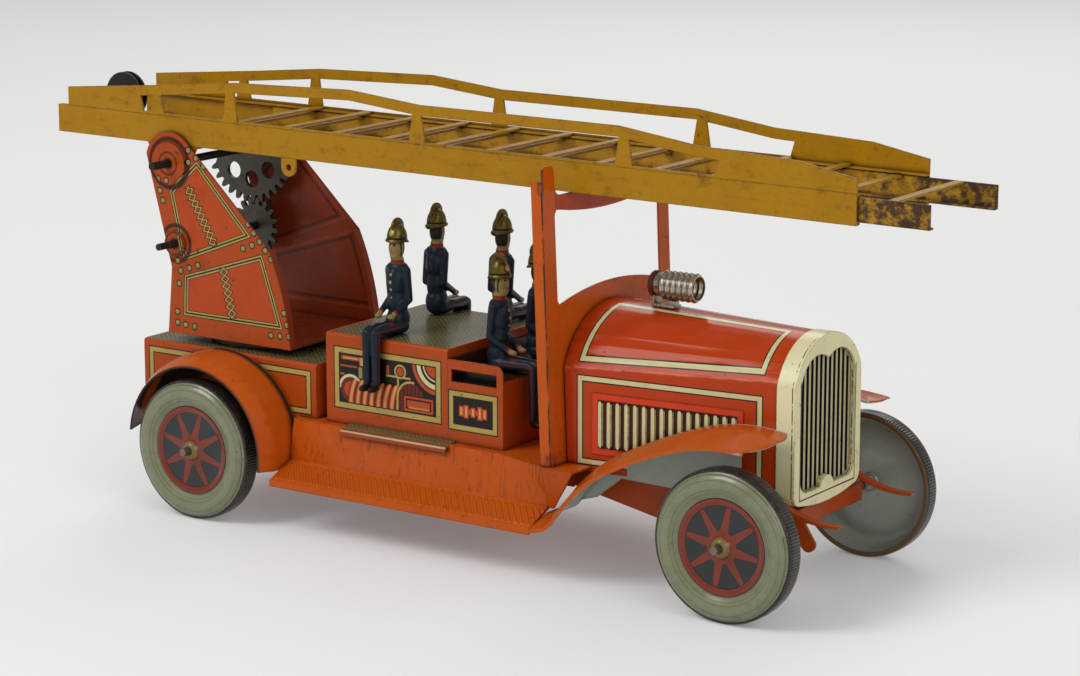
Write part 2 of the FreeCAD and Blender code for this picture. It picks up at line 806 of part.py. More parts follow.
bind(louvres, "Placement.Rotation.Angle", Dim("atan(%s)" % taper.text, math.degrees(math.atan(taper.number))))
bind(louvres, "Placement.Base.x", bonnet_start)
bind(louvres, "Placement.Base.y", -z.bonnet_rear_half)
keep(both_sides("bonnet_louvres", louvres))

# Radiator: an arched shell around a two-lobed opening, notched below, with a ribbed plate set in it.
half, low, shoulder, band = z.radiator_half, z.radiator_low, z.radiator_shoulder, z.radiator_band
corner, notch = z.radiator_corner, z.radiator_notch
radiator_outline = [(-half, low + corner), (corner - half, low, corner * QUARTER), (half - corner, low, z.radiator_belly),
                    (half, low + corner, corner * QUARTER), (half, shoulder),
                    (-half, shoulder, z.radiator_top - shoulder)]
opening = [(band - half, low + band + corner), (band + corner - half, low + band, corner * QUARTER), (-notch, low + band),
           (notch, low + band, -notch * 0.8), (half - band - corner, low + band),
           (half - band, low + band + corner, corner * QUARTER), (half - band, shoulder),
           (0, z.radiator_top - band - z.grille_dip, z.grille_lobe), (band - half, shoulder, z.grille_lobe)]
shell = new_body("radiator_shell")
radiator_front = z.bonnet_front + z.radiator_depth
add_slab(shell, "YZ", [radiator_outline], z.bonnet_front, radiator_front, "outer")
add_slab(shell, "YZ", [opening], z.bonnet_front - 1, radiator_front + 1, "opening", True)
keep(shell)
grille = new_body("radiator_grille")
plate_front = radiator_front - z.grille_inset
add_slab(grille, "YZ", [opening], plate_front - z.grille_deep - t, plate_front, "plate")
groove_at = -z.grille_pitch * z.grille_ribs / 2
groove = [(groove_at, low), (groove_at + z.grille_groove, low), (groove_at + z.grille_groove, z.radiator_top),
          (groove_at, z.radiator_top)]
groove_cut = add_slab(grille, "YZ", [groove], plate_front - z.grille_deep, plate_front + 1, "groove", True)
repeat(grille, groove_cut, groove_cut.Profile[0], "H_Axis", z.grille_ribs, z.grille_pitch)
keep(grille)

# Windscreen: one leaning sheet with a window, an arched cowl, a saddled crossbar and a lug each side of the ladder.
screen = new_body("windscreen")
half, post, lug = z.screen_half, z.screen_post, z.lug_width
rest = z.pivot_height + z.rail_low - dsin(z.droop) * (z.screen_at - z.pivot_at) - z.seat_gap * 2 - z.deck_top
lug_top = rest + z.lug_reach
head = rest - z.screen_bar
sheet_outline = [(-half, 0), (half, 0), (half, lug_top - z.lug_round), (half - lug, lug_top - z.lug_round, z.lug_round),
                 (half - lug, rest), (half - lug * 2, rest), (lug * 2 - half, rest, -z.screen_saddle), (lug - half, rest),
                 (lug - half, lug_top - z.lug_round), (-half, lug_top - z.lug_round, z.lug_round)]
add_slab(screen, "YZ", [sheet_outline], -t, 0, "sheet")
window = [(post - half, z.screen_sill), (half - post, z.screen_sill, -z.screen_sill_rise), (half - post, head),
          (post - half, head, -z.screen_saddle)]
add_slab(screen, "YZ", [window], -t - 1, 1, "window", True)
flange = [(-z.screen_flange, z.seat_gap), (-t / 2, z.seat_gap), (-t / 2, lug_top - z.lug_round),
          (-z.lug_depth, lug_top - z.lug_round, z.lug_round), (-z.screen_flange, head)]
add_slab(screen, "XZ", [flange], -half, t - half, "right_flange")
add_slab(screen, "XZ", [flange], half - t, half, "left_flange")
screen.Placement = FreeCAD.Placement(FreeCAD.Vector(), FreeCAD.Rotation(FreeCAD.Vector(0, -1, 0), 1))
bind(screen, "Placement.Rotation.Angle", z.screen_rake)
bind(screen, "Placement.Base.x", z.screen_at)
bind(screen, "Placement.Base.z", z.deck_top + z.seat_gap / 2)
keep(screen)

# Lamp: an empty socket shell with a rolled thread, a closed neck and a terminal, on a bent strap.
socket = new_body("lamp_socket")
crown_here = z.crown_rear - (z.crown_rear - z.crown_front) * (z.lamp_rear - bonnet_start) / (z.bonnet_front - bonnet_start)
lamp_height = crown_here + z.lamp_gap + z.lamp_radius
outer_r, dip = z.lamp_radius, z.lamp_groove
lamp_bore = outer_r - dip - z.lamp_wall
first = z.lamp_rear + z.lamp_neck
lamp_front = first + z.lamp_pitch * z.lamp_turns
outline = [(z.lamp_rear - z.lamp_pin, 0), (z.lamp_rear - z.lamp_pin, z.lamp_pin_radius),
           (z.lamp_rear, z.lamp_pin_radius), (z.lamp_rear, outer_r - dip), (first, outer_r - dip)]
for n in range(int(z.lamp_turns.number)):
    outline.append((first + z.lamp_pitch * (n + 0.5), outer_r))
    outline.append((first + z.lamp_pitch * (n + 1), outer_r - dip))
outline += [(lamp_front, lamp_bore), (z.lamp_rear + t, lamp_bore), (z.lamp_rear + t, 0)]
turned(socket, "XZ", outline, "H_Axis", "shell")
bind(socket, "Placement.Base.z", lamp_height)
keep(socket)
bracket = new_body("lamp_bracket")
strap_high = lamp_height - z.lamp_radius
strap = [(z.lamp_rear - t, crown_here), (z.lamp_rear + z.bracket_foot, crown_here),
         (z.lamp_rear + z.bracket_foot, crown_here + t), (z.lamp_rear, crown_here + t),
         (z.lamp_rear, lamp_height - z.lamp_pin_radius), (z.lamp_rear - t, lamp_height - z.lamp_pin_radius)]
add_slab(bracket, "XZ", [strap], -z.bracket_width / 2, z.bracket_width / 2, "strap")
cradle_pad = [(z.lamp_rear + z.bracket_foot / 2, crown_here), (z.lamp_rear + z.bracket_foot, crown_here),
              (z.lamp_rear + z.bracket_foot, strap_high), (z.lamp_rear + z.bracket_foot / 2, strap_high)]
add_slab(bracket, "XZ", [cradle_pad], -z.bracket_width / 4, z.bracket_width / 4, "pad")
keep(bracket)

# Front frame: side members that deepen toward the axle, a cross sheet and two curved spring horns.
frame = new_body("front_frame")
deep_end = z.frame_deep_at + z.frame_deep_length
web_low = z.bonnet_low - z.frame_web
frame_side = [(z.deck_front - z.deck_flange, z.frame_low_rear), (z.frame_deep_at, z.frame_low_front), (deep_end, z.frame_low_front),
              (deep_end + z.frame_rise, web_low), (z.bonnet_front, web_low), (z.bonnet_front, z.bonnet_low),
              (z.deck_front, z.bonnet_low), (z.deck_front, deck_under), (z.deck_front - z.deck_flange, deck_under)]
add_slab(frame, "XZ", [frame_side], -z.frame_half, t - z.frame_half, "right")
tie = [(z.deck_front, z.bonnet_low - t), (z.bonnet_front, z.bonnet_low - t), (z.bonnet_front, z.bonnet_low),
       (z.deck_front, z.bonnet_low)]
add_slab(frame, "XZ", [tie], -z.frame_half, z.frame_half, "top")
add_slab(frame, "XZ", [frame_side], z.frame_half - t, z.frame_half, "left")
root = z.bonnet_front - z.horn_root
horn_top = z.bonnet_low + z.horn_depth
horn = [(root, z.bonnet_low - t), (z.bonnet_front - z.horn_root / 2, z.bonnet_low - t),
        (z.bonnet_front, z.bonnet_low + z.sheet / 2), (z.horn_tip, z.bonnet_low - z.horn_drop, z.horn_bow),
        (z.horn_tip + t, z.bonnet_low - z.horn_drop + z.horn_depth / 2), (z.bonnet_front, horn_top, -z.horn_bow),
        (root, horn_top)]
horn_low, horn_high = z.horn_half - z.horn_width / 2, z.horn_half + z.horn_width / 2
add_slab(frame, "XZ", [horn], -horn_high, -horn_low, "right_horn")
foot = [(root, z.bonnet_low - t), (z.bonnet_front - z.horn_root / 2, z.bonnet_low - t),
        (z.bonnet_front - z.horn_root / 2, z.bonnet_low), (root, z.bonnet_low)]
add_slab(frame, "XZ", [foot], -horn_high, horn_high, "foot")
add_slab(frame, "XZ", [horn], horn_low, horn_high, "left_horn")
keep(frame)

# Wheels: pressed pans with a domed side wall, a flat face and a hub tube, each inside a tread hoop.
hoop_inner = z.wheel_radius - z.tread_depth
half_tread = z.tread_width / 2


def wheel_outline(side, bore):
    """Section of a wheel pan: (radius, y), side is -1 for the right wheel and 1 for the left."""

    def y(a):
        return side * (z.wheel_mid + a)

    face = half_tread - z.pan_inset
    ring, bead = (z.rim_ring_radius, y(face)), (hoop_inner, y(half_tread - t * 2))
    outer = [(bore, y(-half_tread)), (bore, y(half_tread + z.hub_proud)), (z.hub_tip, y(half_tread + z.hub_proud)),
             (z.hub_tip, y(face)), ring] + bowed(ring, bead, (0, z.rim_dome * side))
    return outer + [(hoop_inner, y(-half_tread)), (hoop_inner - t, y(-half_tread)), (hoop_inner - t, y(face - t)),
                    (z.hub_radius, y(face - t)), (z.hub_radius, y(-half_tread))]


def tread_outline(side):
    inner_edge, outer_edge = z.wheel_mid - half_tread, z.wheel_mid + half_tread - t * 2
    return [(hoop_inner, inner_edge * side), (hoop_inner, outer_edge * side),
            (z.wheel_radius, (outer_edge - z.tread_round) * side), (z.wheel_radius, (inner_edge + z.tread_round) * side)]


for side, word in ((-1, "right"), (1, "left")):
    keep(lathe("front_wheel_" + word, wheel_outline(side, z.axle_radius + z.run_fit), (z.front_axle_at, 0, axle_height)))
    keep(lathe("front_tread_" + word, tread_outline(side), (z.front_axle_at, 0, axle_height)))
rear_pans = [lathe("rear_pan_" + word, wheel_outline(side, z.axle_radius), (z.rear_axle_at, 0, axle_height))
             for side, word in ((-1, "right"), (1, "left"))]
keep(group("rear_wheels", rear_pans))
rear_hoops = [lathe("rear_hoop_" + word, tread_outline(side), (z.rear_axle_at, 0, axle_height))
              for side, word in ((-1, "right"), (1, "left"))]
keep(group("rear_treads", rear_hoops))
axle_half = z.wheel_mid + half_tread + z.axle_stub
keep(rod("rear_axle", "Y", (z.rear_axle_at, -axle_half, axle_height), z.axle_radius, axle_half * 2))
keep(rod("front_axle", "Y", (z.front_axle_at, -axle_half, axle_height), z.axle_radius, axle_half * 2))

# Bearers: two tapering plates below the deck with bores for the rear axle, and the motor between deck and road.
half_length = z.bearer_length / 2
bearer_side = [(z.rear_axle_at - half_length / 2, axle_height - z.bearer_skirt),
               (z.rear_axle_at + half_length / 2, axle_height - z.bearer_skirt),
               (z.rear_axle_at + half_length, deck_under), (z.rear_axle_at - half_length, deck_under)]
bearer = slab("bearer_plate", "XZ", [bearer_side], -z.bearer_half - t / 2, t / 2 - z.bearer_half)
bearer_bore = rod("bearer_bore", "Y", (z.rear_axle_at, -z.bearer_half - t, axle_height), z.axle_radius + z.run_fit, t * 2)
keep(both_sides("rear_axle_bearers", cut("bearer_half", bearer, bearer_bore)))
motor_rear = z.rear_axle_at + z.motor_gap
keep(block("clockwork", (motor_rear, motor_rear + z.motor_length), (-z.motor_half, z.motor_half),
           (deck_under - z.motor_depth, deck_under)))

# Axle carrier: a channel across the car that swivels on a pin, with ends that hold the axle and a lever.
carrier_top = z.carrier_top
w2 = z.carrier_width / 2
rear_x, front_x = z.front_axle_at - w2, z.front_axle_at + w2
channel_low = axle_height - z.bearer_skirt
carrier = new_body("axle_carrier_blank")
across = [(rear_x, channel_low), (rear_x + t, channel_low), (rear_x + t, carrier_top - t),
          (front_x - t, carrier_top - t), (front_x - t, channel_low), (front_x, channel_low),
          (front_x, carrier_top), (rear_x, carrier_top)]
add_slab(carrier, "XZ", [across], -z.carrier_half, z.carrier_half, "channel")
end_plate = [(rear_x, channel_low), (front_x, channel_low), (front_x, carrier_top), (rear_x, carrier_top)]
add_slab(carrier, "XZ", [end_plate], -z.carrier_half, z.carrier_end - z.carrier_half, "right_end")
add_slab(carrier, "XZ", [end_plate], z.carrier_half - z.carrier_end, z.carrier_half, "left_end")
lever = [(front_x - t, channel_low - t), (front_x + z.lever_reach / 2, z.lever_low),
         (front_x + z.lever_reach, z.lever_low + z.lever_reach / 3, z.lever_bow), (front_x + z.lever_reach / 2, axle_height),
         (front_x - t, carrier_top - t * 2)]
add_slab(carrier, "XZ", [lever], -z.lever_side - z.carrier_end, -z.lever_side, "lever")
carrier_bore = rod("carrier_bore", "Y", (z.front_axle_at, -z.carrier_half - 1, axle_height), z.axle_radius,
                   z.carrier_half * 2 + 2)
swivel_bore = rod("swivel_bore", "Z", (z.front_axle_at, 0, carrier_top - t * 2), z.steer_pin_radius + z.run_fit, t * 3)
keep(cut("axle_carrier", cut("axle_carrier_bored", carrier, carrier_bore), swivel_bore))
plate_under = z.bonnet_low - t
pin_shank = rod("swivel_shank", "Z", (z.front_axle_at, 0, carrier_top - t), z.steer_pin_radius,
                plate_under - (carrier_top - t))
pin_collar = rod("swivel_collar", "Z", (z.front_axle_at, 0, carrier_top + z.seat_gap), z.steer_pin_radius + t,
                 plate_under - carrier_top - z.seat_gap)
keep(fuse("swivel_pin", [pin_shank, pin_collar]))

# Turntable: a disc on the rear box, turned about a headed pin, and a tower of two flanged cheeks on one floor.
table_low = z.rear_box_top + z.seat_gap
table_high = table_low + z.turntable_rise
disc = rod("turntable_disc", "Z", (z.turntable_at, 0, table_low), z.turntable_radius, z.turntable_rise)
disc_bore = rod("turntable_bore", "Z", (z.turntable_at, 0, table_low - 1), z.turn_pin_radius + z.run_fit,
                z.turntable_rise + t + 2)
keep(cut("turntable_plate", disc, disc_bore))
mesh_reach = z.gear_module * (z.sector_teeth + z.pinion_teeth) / 2
crank_at = z.pivot_at + mesh_reach * dcos(z.mesh_angle)
crank_height = z.pivot_height + mesh_reach * dsin(z.mesh_angle)
apex = z.tower_apex
crest_x, crest_z = z.pivot_at + apex * dcos(42), z.pivot_height + apex * dsin(42)
heel_x, heel_z = z.pivot_at - apex * dcos(14), z.pivot_height + apex * dsin(14)
cheek = [(z.tower_rear, table_high), (z.tower_front, table_high), (z.tower_knee_at, z.tower_knee, z.tower_bow),
         (crest_x, crest_z), (heel_x, heel_z, apex * (1 - dcos(62))),
         (z.tower_rear + z.tower_waist_in, table_high + z.tower_waist)]
tower = new_body("tower_blank")
lip = z.tower_flange
add_slab(tower, "XZ", [cheek], -z.tower_half, t - z.tower_half, "right")
floor = [(z.tower_rear, table_high), (z.tower_front, table_high), (z.tower_front, table_high + t),
         (z.tower_rear, table_high + t)]
add_slab(tower, "XZ", [floor], -z.tower_half, z.tower_half, "floor")
add_slab(tower, "XZ", [cheek], z.tower_half - t, z.tower_half, "left")
front_lip = [(z.tower_front - t, table_high), (z.tower_front, table_high), (z.tower_knee_at, z.tower_knee, z.tower_bow),
             (z.tower_knee_at - t, z.tower_knee)]
add_slab(tower, "XZ", [front_lip], -z.tower_half, lip - z.tower_half, "right_lip")
add_slab(tower, "XZ", [front_lip], z.tower_half - lip, z.tower_half, "left_lip")
bosses = []
for word, x, h, radius in (("upper", z.pivot_at, z.pivot_height, z.boss_radius),
                           ("lower", crank_at, crank_height, z.boss_low_radius)):
    boss = rod(word + "_boss", "Y", (x, -z.tower_half - z.boss_rise, h), radius, z.boss_rise + t / 2)
    bosses += [boss, mirrored(word + "_boss_other", boss)]
raised = fuse("tower_raised", [tower] + bosses)
bores = []
for word, x, h in (("pivot", z.pivot_at, z.pivot_height), ("crank", crank_at, crank_height)):
    bores.append(rod(word + "_bore", "Y", (x, -z.tower_half - z.boss_rise - 1, h), z.axle_radius + z.run_fit,
                     (z.tower_half + z.boss_rise + 1) * 2))
keep(cut("tower", raised, fuse("tower_bores", bores + [disc_bore])))
pin_low = rod("turn_shank", "Z", (z.turntable_at, 0, z.rear_box_top), z.turn_pin_radius,
              table_high + t + z.seat_gap - z.rear_box_top)
pin_top = rod("turn_head", "Z", (z.turntable_at, 0, table_high + t + z.seat_gap), z.turn_pin_head, t)
keep(fuse("turntable_pin", [pin_low, pin_top]))


# Gears: involute flanks with a little backlash, drawn from the sizes.
def involute_points(teeth, spots, turn):
    """Corners of the named teeth of a spur gear about the origin, in the XZ plane."""
    module = z.gear_module.number
    pitch = module * teeth / 2
    base = pitch * math.cos(math.radians(20))
    tip, root = pitch + module * 0.9, pitch - 1.25 * module
    half_angle = math.pi / (2 * teeth) - 0.06 * module / pitch
    flat = math.tan(math.radians(20)) - math.radians(20)
    flank_steps = 3
    points = []
    for spot in spots:
        middle = math.radians(turn) + spot * 2 * math.pi / teeth
        flank = []
        for step in range(flank_steps):
            reach = max(root, base) + (tip - max(root, base)) * step / (flank_steps - 1)
            press = math.acos(min(1.0, base / reach))
            flank.append((reach, half_angle + flat - (math.tan(press) - press)))
        if root < base:
            flank.insert(0, (root, flank[0][1]))
        for reach, angle in flank:
            points.append((reach, middle - angle))
        for reach, angle in reversed(flank):
            points.append((reach, middle + angle))
    return [(r * math.cos(a), r * math.sin(a)) for r, a in points]


def plate_from(points, y_low, y_high):
    wire = Part.makePolygon([FreeCAD.Vector(x, y_low, h) for x, h in points + points[:1]])
    return Part.Face(wire).extrude(FreeCAD.Vector(0, y_high - y_low, 0))


def round_hole(x, h, radius):
    return Part.makeCylinder(radius, z.tower_half.number, FreeCAD.Vector(x, 0, h), FreeCAD.Vector(0, 1, 0))


gear_low = z.gear_side.number - z.gear_width.number / 2
gear_high = gear_low + z.gear_width.number
sector_count = int(z.sector_teeth.number)
pitch_radius = z.gear_module.number * sector_count / 2
sector_points = involute_points(sector_count, range(-6, 6), z.mesh_angle.number)
sector_top = z.rail_low.number - z.sheet.number
toe = z.cradle_half.number
sector_points += [(toe + z.cradle_toe.number, sector_top), (-toe, sector_top)]
sector_shape = plate_from(sector_points, gear_low, gear_high).cut(round_hole(0, 0, z.axle_radius.number))
for angle in (-40, -85, -130):
    reach = pitch_radius * 0.6
    spot = (reach * math.cos(math.radians(angle)), reach * math.sin(math.radians(angle)))
    sector_shape = sector_shape.cut(round_hole(spot[0], spot[1], z.sector_hole.number))
sector = doc.addObject("Part::Feature", "elevation_sector")
sector.Shape = sector_shape
keep(at_pivot(sector))
pinion_count = int(z.pinion_teeth.number)
pinion_turn = z.mesh_angle.number + 180 + 180.0 / pinion_count
pinion = doc.addObject("Part::Feature", "crank_pinion")
pinion.Shape = plate_from(involute_points(pinion_count, range(pinion_count), pinion_turn),
                          gear_low, gear_high).cut(round_hole(0, 0, z.axle_radius.number))
bind(pinion, "Placement.Base.x", crank_at)
bind(pinion, "Placement.Base.z", crank_height)
keep(pinion)
arbor_start = -z.tower_half - z.arbor_reach
arbor_length = z.tower_half * 2 + z.arbor_reach + z.arbor_inside
crank_core = rod("crank_core", "Y", (crank_at, arbor_start + z.arbor_end, crank_height), z.axle_radius,
                 arbor_length - z.arbor_end)
crank_end = rod("crank_end", "Y", (crank_at, arbor_start, crank_height), z.arbor_end_radius, z.arbor_end)
keep(fuse("crank_shaft", [crank_core, crank_end]))
keep(rod("ladder_pivot", "Y", (z.pivot_at, arbor_start, z.pivot_height), z.axle_radius, arbor_length))

# Ladder, drawn from its pivot. Rails are channels that open inward.
lo, hi = z.rail_low, z.rail_low + z.rail_height
wide = z.ladder_half
rail = [(-wide, lo), (z.rail_flange - wide, lo), (z.rail_flange - wide, lo + t), (t - wide, lo + t), (t - wide, hi - t),
        (z.rail_flange - wide, hi - t), (z.rail_flange - wide, hi), (-wide, hi)]
keep(at_pivot(both_sides("ladder_rails", slab("ladder_rail_half", "YZ", [rail], z.ladder_back, z.ladder_fore))))
ear = [(-z.cradle_toe, -z.cradle_drop), (z.cradle_toe, -z.cradle_drop), (z.cradle_half, lo), (-z.cradle_half, lo)]
cradle = new_body("cradle_blank")
add_slab(cradle, "XZ", [ear], -wide, t - wide, "right")
bridge = [(-z.cradle_half, lo - t), (z.cradle_half, lo - t), (z.cradle_half, lo), (-z.cradle_half, lo)]
add_slab(cradle, "XZ", [bridge], -wide, wide, "bridge")
add_slab(cradle, "XZ", [ear], wide - t, wide, "left")
cradle_bore = rod("cradle_bore", "Y", (0, -z.tower_half, 0), z.axle_radius, z.tower_half * 2)
keep(at_pivot(cut("ladder_cradle", cradle, cradle_bore)))


def rung_row(label, first, step, count, half, h):
    """Flat strips across a ladder, each a rung."""
    rungs = []
    for i in range(int(count.number)):
        at = first + step * i
        rungs.append(block("%s_%02d" % (label, i + 1), (at, at + z.rung_width), (-half, half), h))
    return keep(at_pivot(group(label, rungs)))


rung_row("ladder_rungs", z.rung_first, z.rung_pitch, z.rung_count, wide - t, (hi, hi + t))

# Railings: a high strip on each side member, cut away between flared uprights below a bent handrail.
stations = [(z.crest_tail_at, z.crest_tail), (z.crest_b_at, z.crest_b), (z.crest_c_at, z.crest_c), (z.crest_d_at, z.crest_d),
            (z.crest_e_at, z.crest_e), (z.crest_f_at, z.crest_f), (z.crest_g_at, z.crest_g), (z.crest_h_at, z.crest_h),
            (z.ladder_fore, z.crest_nose)]


def crest(at):
    """Height of the handrail's upper edge over the side member, between two stations."""
    for (x0, h0), (x1, h1) in zip(stations, stations[1:]):
        if x0.number <= at.number <= x1.number:
            return h0 + (h1 - h0) * (at - x0) / (x1 - x0)
    raise ValueError("outside the railing")


truss = [(z.crest_tail_at, hi), (z.ladder_fore, hi)] + [(x, hi + h) for x, h in reversed(stations)]
railing = new_body("railing_half")
add_slab(railing, "XZ", [truss], -wide, t - wide, "plate")
posts = [z.post_a, z.post_b, z.post_c, z.post_e, z.post_f, z.post_g]
for n, (a, b) in enumerate(zip(posts, posts[1:])):
    start, stop = a + z.post_width / 2, b - z.post_width / 2
    inside = [(x, h) for x, h in stations if start.number < x.number < stop.number]
    gap = [(start + z.post_flare / 2, hi + z.gap_foot), (stop - z.post_flare / 2, hi + z.gap_foot),
           (stop, hi + crest(stop) - z.handrail_depth)]
    gap += [(x, hi + h - z.handrail_depth) for x, h in reversed(inside)]
    gap.append((start, hi + crest(start) - z.handrail_depth))
    add_slab(railing, "XZ", [gap], -wide - 1, t + 1 - wide, "gap%d" % n, True)
reel_at = z.ladder_back + z.reel_back
keep(at_pivot(both_sides("ladder_railings", railing)))
eye_low = lo - z.eye_drop
eye = slab("eye_blank", "XZ", [[(z.eye_at - z.eye_radius, eye_low), (z.eye_at + z.eye_radius, eye_low, z.eye_radius * 0.98),
                                (z.eye_at + z.eye_radius, lo), (z.eye_at - z.eye_radius, lo)]], -wide, t - wide)
eye_bore = rod("eye_bore", "Y", (z.eye_at, -wide - 1, eye_low), z.eye_bore, t + 2)
keep(at_pivot(cut("ladder_eye", eye, eye_bore)))

# Inner ladder: slides between the flanges of the outer rails.
play = z.rail_play
ih = wide - t - play
ilo, ihi = lo + t + play, hi - t - play
inner_rail = [(-ih, ilo), (z.rail_flange - ih, ilo), (z.rail_flange - ih, ilo + t), (t - ih, ilo + t), (t - ih, ihi), (-ih, ihi)]
keep(at_pivot(both_sides("inner_rails", slab("inner_rail_half", "YZ", [inner_rail], z.inner_back, z.inner_fore))))
rung_row("inner_rungs", z.inner_fore - z.inner_tip - z.rung_width, -z.rung_pitch, z.inner_rung_count, ih - t, (ihi - t, ihi))

# Cord reel at the ladder's tail, between two uprights on a strip that lies on the rails' lower flanges.
cheek_in = z.reel_half + z.reel_play
cheek_out = cheek_in + t
bracket_front = reel_at + z.bracket_half
bracket_rear = reel_at - z.bracket_half
bracket = new_body("bracket_blank")
strip = [(t - wide, lo + t), (wide - t, lo + t), (wide - t, lo + t * 2), (t - wide, lo + t * 2)]
add_slab(bracket, "YZ", [strip], bracket_rear, bracket_front, "strip")
for word, inner, outer in (("right", -cheek_out, -cheek_in), ("left", cheek_in, cheek_out)):
    cheek = [(bracket_rear, lo + t), (bracket_front, lo + t), (bracket_front, z.reel_high + z.bracket_over),
             (bracket_rear, z.reel_high + z.bracket_over)]
    add_slab(bracket, "XZ", [cheek], inner, outer, word)
spindle_bore = rod("spindle_bore", "Y", (reel_at, -cheek_out - 1, z.reel_high), z.spindle_radius + z.run_fit,
                   (cheek_out + 1) * 2)
keep(at_pivot(cut("reel_bracket", bracket, spindle_bore)))
reel = fuse("cord_reel", [rod("reel_cheek_right", "Y", (reel_at, -z.reel_half, z.reel_high), z.reel_radius, t),
                          rod("reel_core", "Y", (reel_at, -z.reel_half, z.reel_high), z.reel_core, z.reel_half * 2),
                          rod("reel_spindle", "Y", (reel_at, -cheek_out - t, z.reel_high), z.spindle_radius, (cheek_out + t) * 2),
                          rod("reel_cheek_left", "Y", (reel_at, z.reel_half - t, z.reel_high), z.reel_radius, t)])
keep(at_pivot(reel))

# Seated figures: side and front silhouettes crossed, with bent legs and arms on the lap.
lap, seat_edge = z.man_thigh, z.man_reach - z.man_shin
knee = z.man_reach
jaw, brow = z.man_neck_high + t, z.helmet_low - t
cap_low, cap_top = z.helmet_low + t, z.helmet_high - t * 2
side_view = [(-z.man_back, 0), (z.man_chest, 0), (z.man_neck + t, z.man_waist_high), (z.man_chest, z.man_breast),
             (z.man_neck, z.man_shoulder), (z.man_neck, jaw), (z.man_face, jaw), (z.man_face, z.man_nose - t),
             (z.man_face + t, z.man_nose), (z.man_face, brow), (z.helmet_brim, brow), (z.helmet_brim, z.helmet_low),
             (z.helmet_radius, cap_low), (z.man_neck, cap_top), (z.man_neck, z.crest_height),
             (-z.man_neck, z.crest_height), (-z.helmet_radius, cap_top), (-z.helmet_radius, cap_low),
             (-z.helmet_brim, z.helmet_low), (-z.helmet_brim, brow), (-z.man_neck, jaw), (-z.man_neck, z.man_shoulder),
             (-z.man_back, z.man_breast), (t - z.man_back, z.man_waist_high)]
front_half = [(z.man_half, 0), (z.man_waist, z.man_waist_high), (z.man_half, z.man_shoulder - t), (z.man_neck, z.man_shoulder + t),
              (z.man_neck, jaw), (z.man_face - t, z.man_nose), (z.man_face - t, brow), (z.helmet_brim - t, brow),
              (z.helmet_brim - t, z.helmet_low), (z.man_face, cap_low), (z.man_neck, cap_top), (t / 2, z.helmet_high),
              (t / 2, z.crest_height)]
front_view = front_half + [(-y, h) for y, h in reversed(front_half)]
leg_view = [(0, 0), (seat_edge, 0), (seat_edge, z.man_shoe - z.man_foot), (seat_edge - t, -z.man_foot),
            (knee + z.man_shoe, -z.man_foot), (knee - t / 2, z.man_shoe - z.man_foot), (knee, lap - t * 2),
            (knee - t * 2, lap), (0, lap + t)]
arm_view = [(-z.man_neck, z.man_shoulder - t), (-z.man_back + t, z.man_elbow), (-z.man_neck, lap + t), (z.man_hand_at, lap - t),
            (z.man_hand_at + z.man_arm_width, lap + t), (z.man_hand_at, lap + t * 4), (z.man_neck, z.man_elbow + t),
            (z.man_neck, z.man_shoulder - t)]


def fireman(label, x, y, h, turn):
    side_pad = slab(label + "_side", "XZ", [side_view], -z.man_half - 1, z.man_half + 1)
    front_pad = slab(label + "_front", "YZ", [front_view], -z.helmet_brim - 1, z.helmet_brim + 1)
    trunk = doc.addObject("Part::Common", label + "_trunk")
    trunk.Base = side_pad
    trunk.Tool = front_pad
    pieces = [trunk]
    leg_low, leg_high = z.man_half - t / 2 - z.man_leg_width, z.man_half - t / 2
    arm_low, arm_high = z.man_half - t, z.man_half - t + z.man_arm_width
    for word, pair in (("right", (-leg_high, -leg_low)), ("left", (leg_low, leg_high))):
        pieces.append(slab(label + "_leg_" + word, "XZ", [leg_view], pair[0], pair[1]))
    for word, pair in (("right", (-arm_high, -arm_low)), ("left", (arm_low, arm_high))):
        pieces.append(slab(label + "_arm_" + word, "XZ", [arm_view], pair[0], pair[1]))
    figure = fuse(label, pieces)
    figure.Placement = FreeCAD.Placement(FreeCAD.Vector(), FreeCAD.Rotation(FreeCAD.Vector(0, 0, 1), turn))
    for path, dim in zip("xyz", (x, y, h)):
        bind(figure, "Placement.Base." + path, dim)
    return keep(figure)


fireman("fireman_rear_right", z.rear_man_at, -z.rear_man_side, z.seat_box_top, -90)
fireman("fireman_rear_left", z.far_man_at, z.far_man_side, z.seat_box_top, 90)
fireman("fireman_mid_left", z.mid_man_at, z.mid_man_side, z.seat_box_top, 90)
fireman("fireman_front_right", z.front_man_at, -z.front_man_side, z.bench_seat, 0)
fireman("fireman_driver", z.front_man_at, z.driver_side, z.bench_seat, 0)

doc.recompute()
bad = [thing.Label for thing in doc.Objects if "Invalid" in thing.State or "Error" in thing.State]
for label, thing in nodes.items():
    if thing.Shape.isNull() or not thing.Shape.isValid() or not thing.Shape.Solids:
        bad.append(label + " shape")
if bad:
    raise RuntimeError("not built: " + ", ".join(bad))
for label, thing in nodes.items():
    box = thing.Shape.BoundBox
    print("%-22s solids %2d  x %7.1f %7.1f  y %6.1f %6.1f  z %6.1f %6.1f  vol %8.1f" % (
        label, len(thing.Shape.Solids), box.XMin, box.XMax, box.YMin, box.YMax, box.ZMin, box.ZMax, thing.Shape.Volume))
    thing.Shape.exportStep("parts/%s.step" % label)
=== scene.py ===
import functools
import json
import math

import bpy
from mathutils import Matrix, Vector


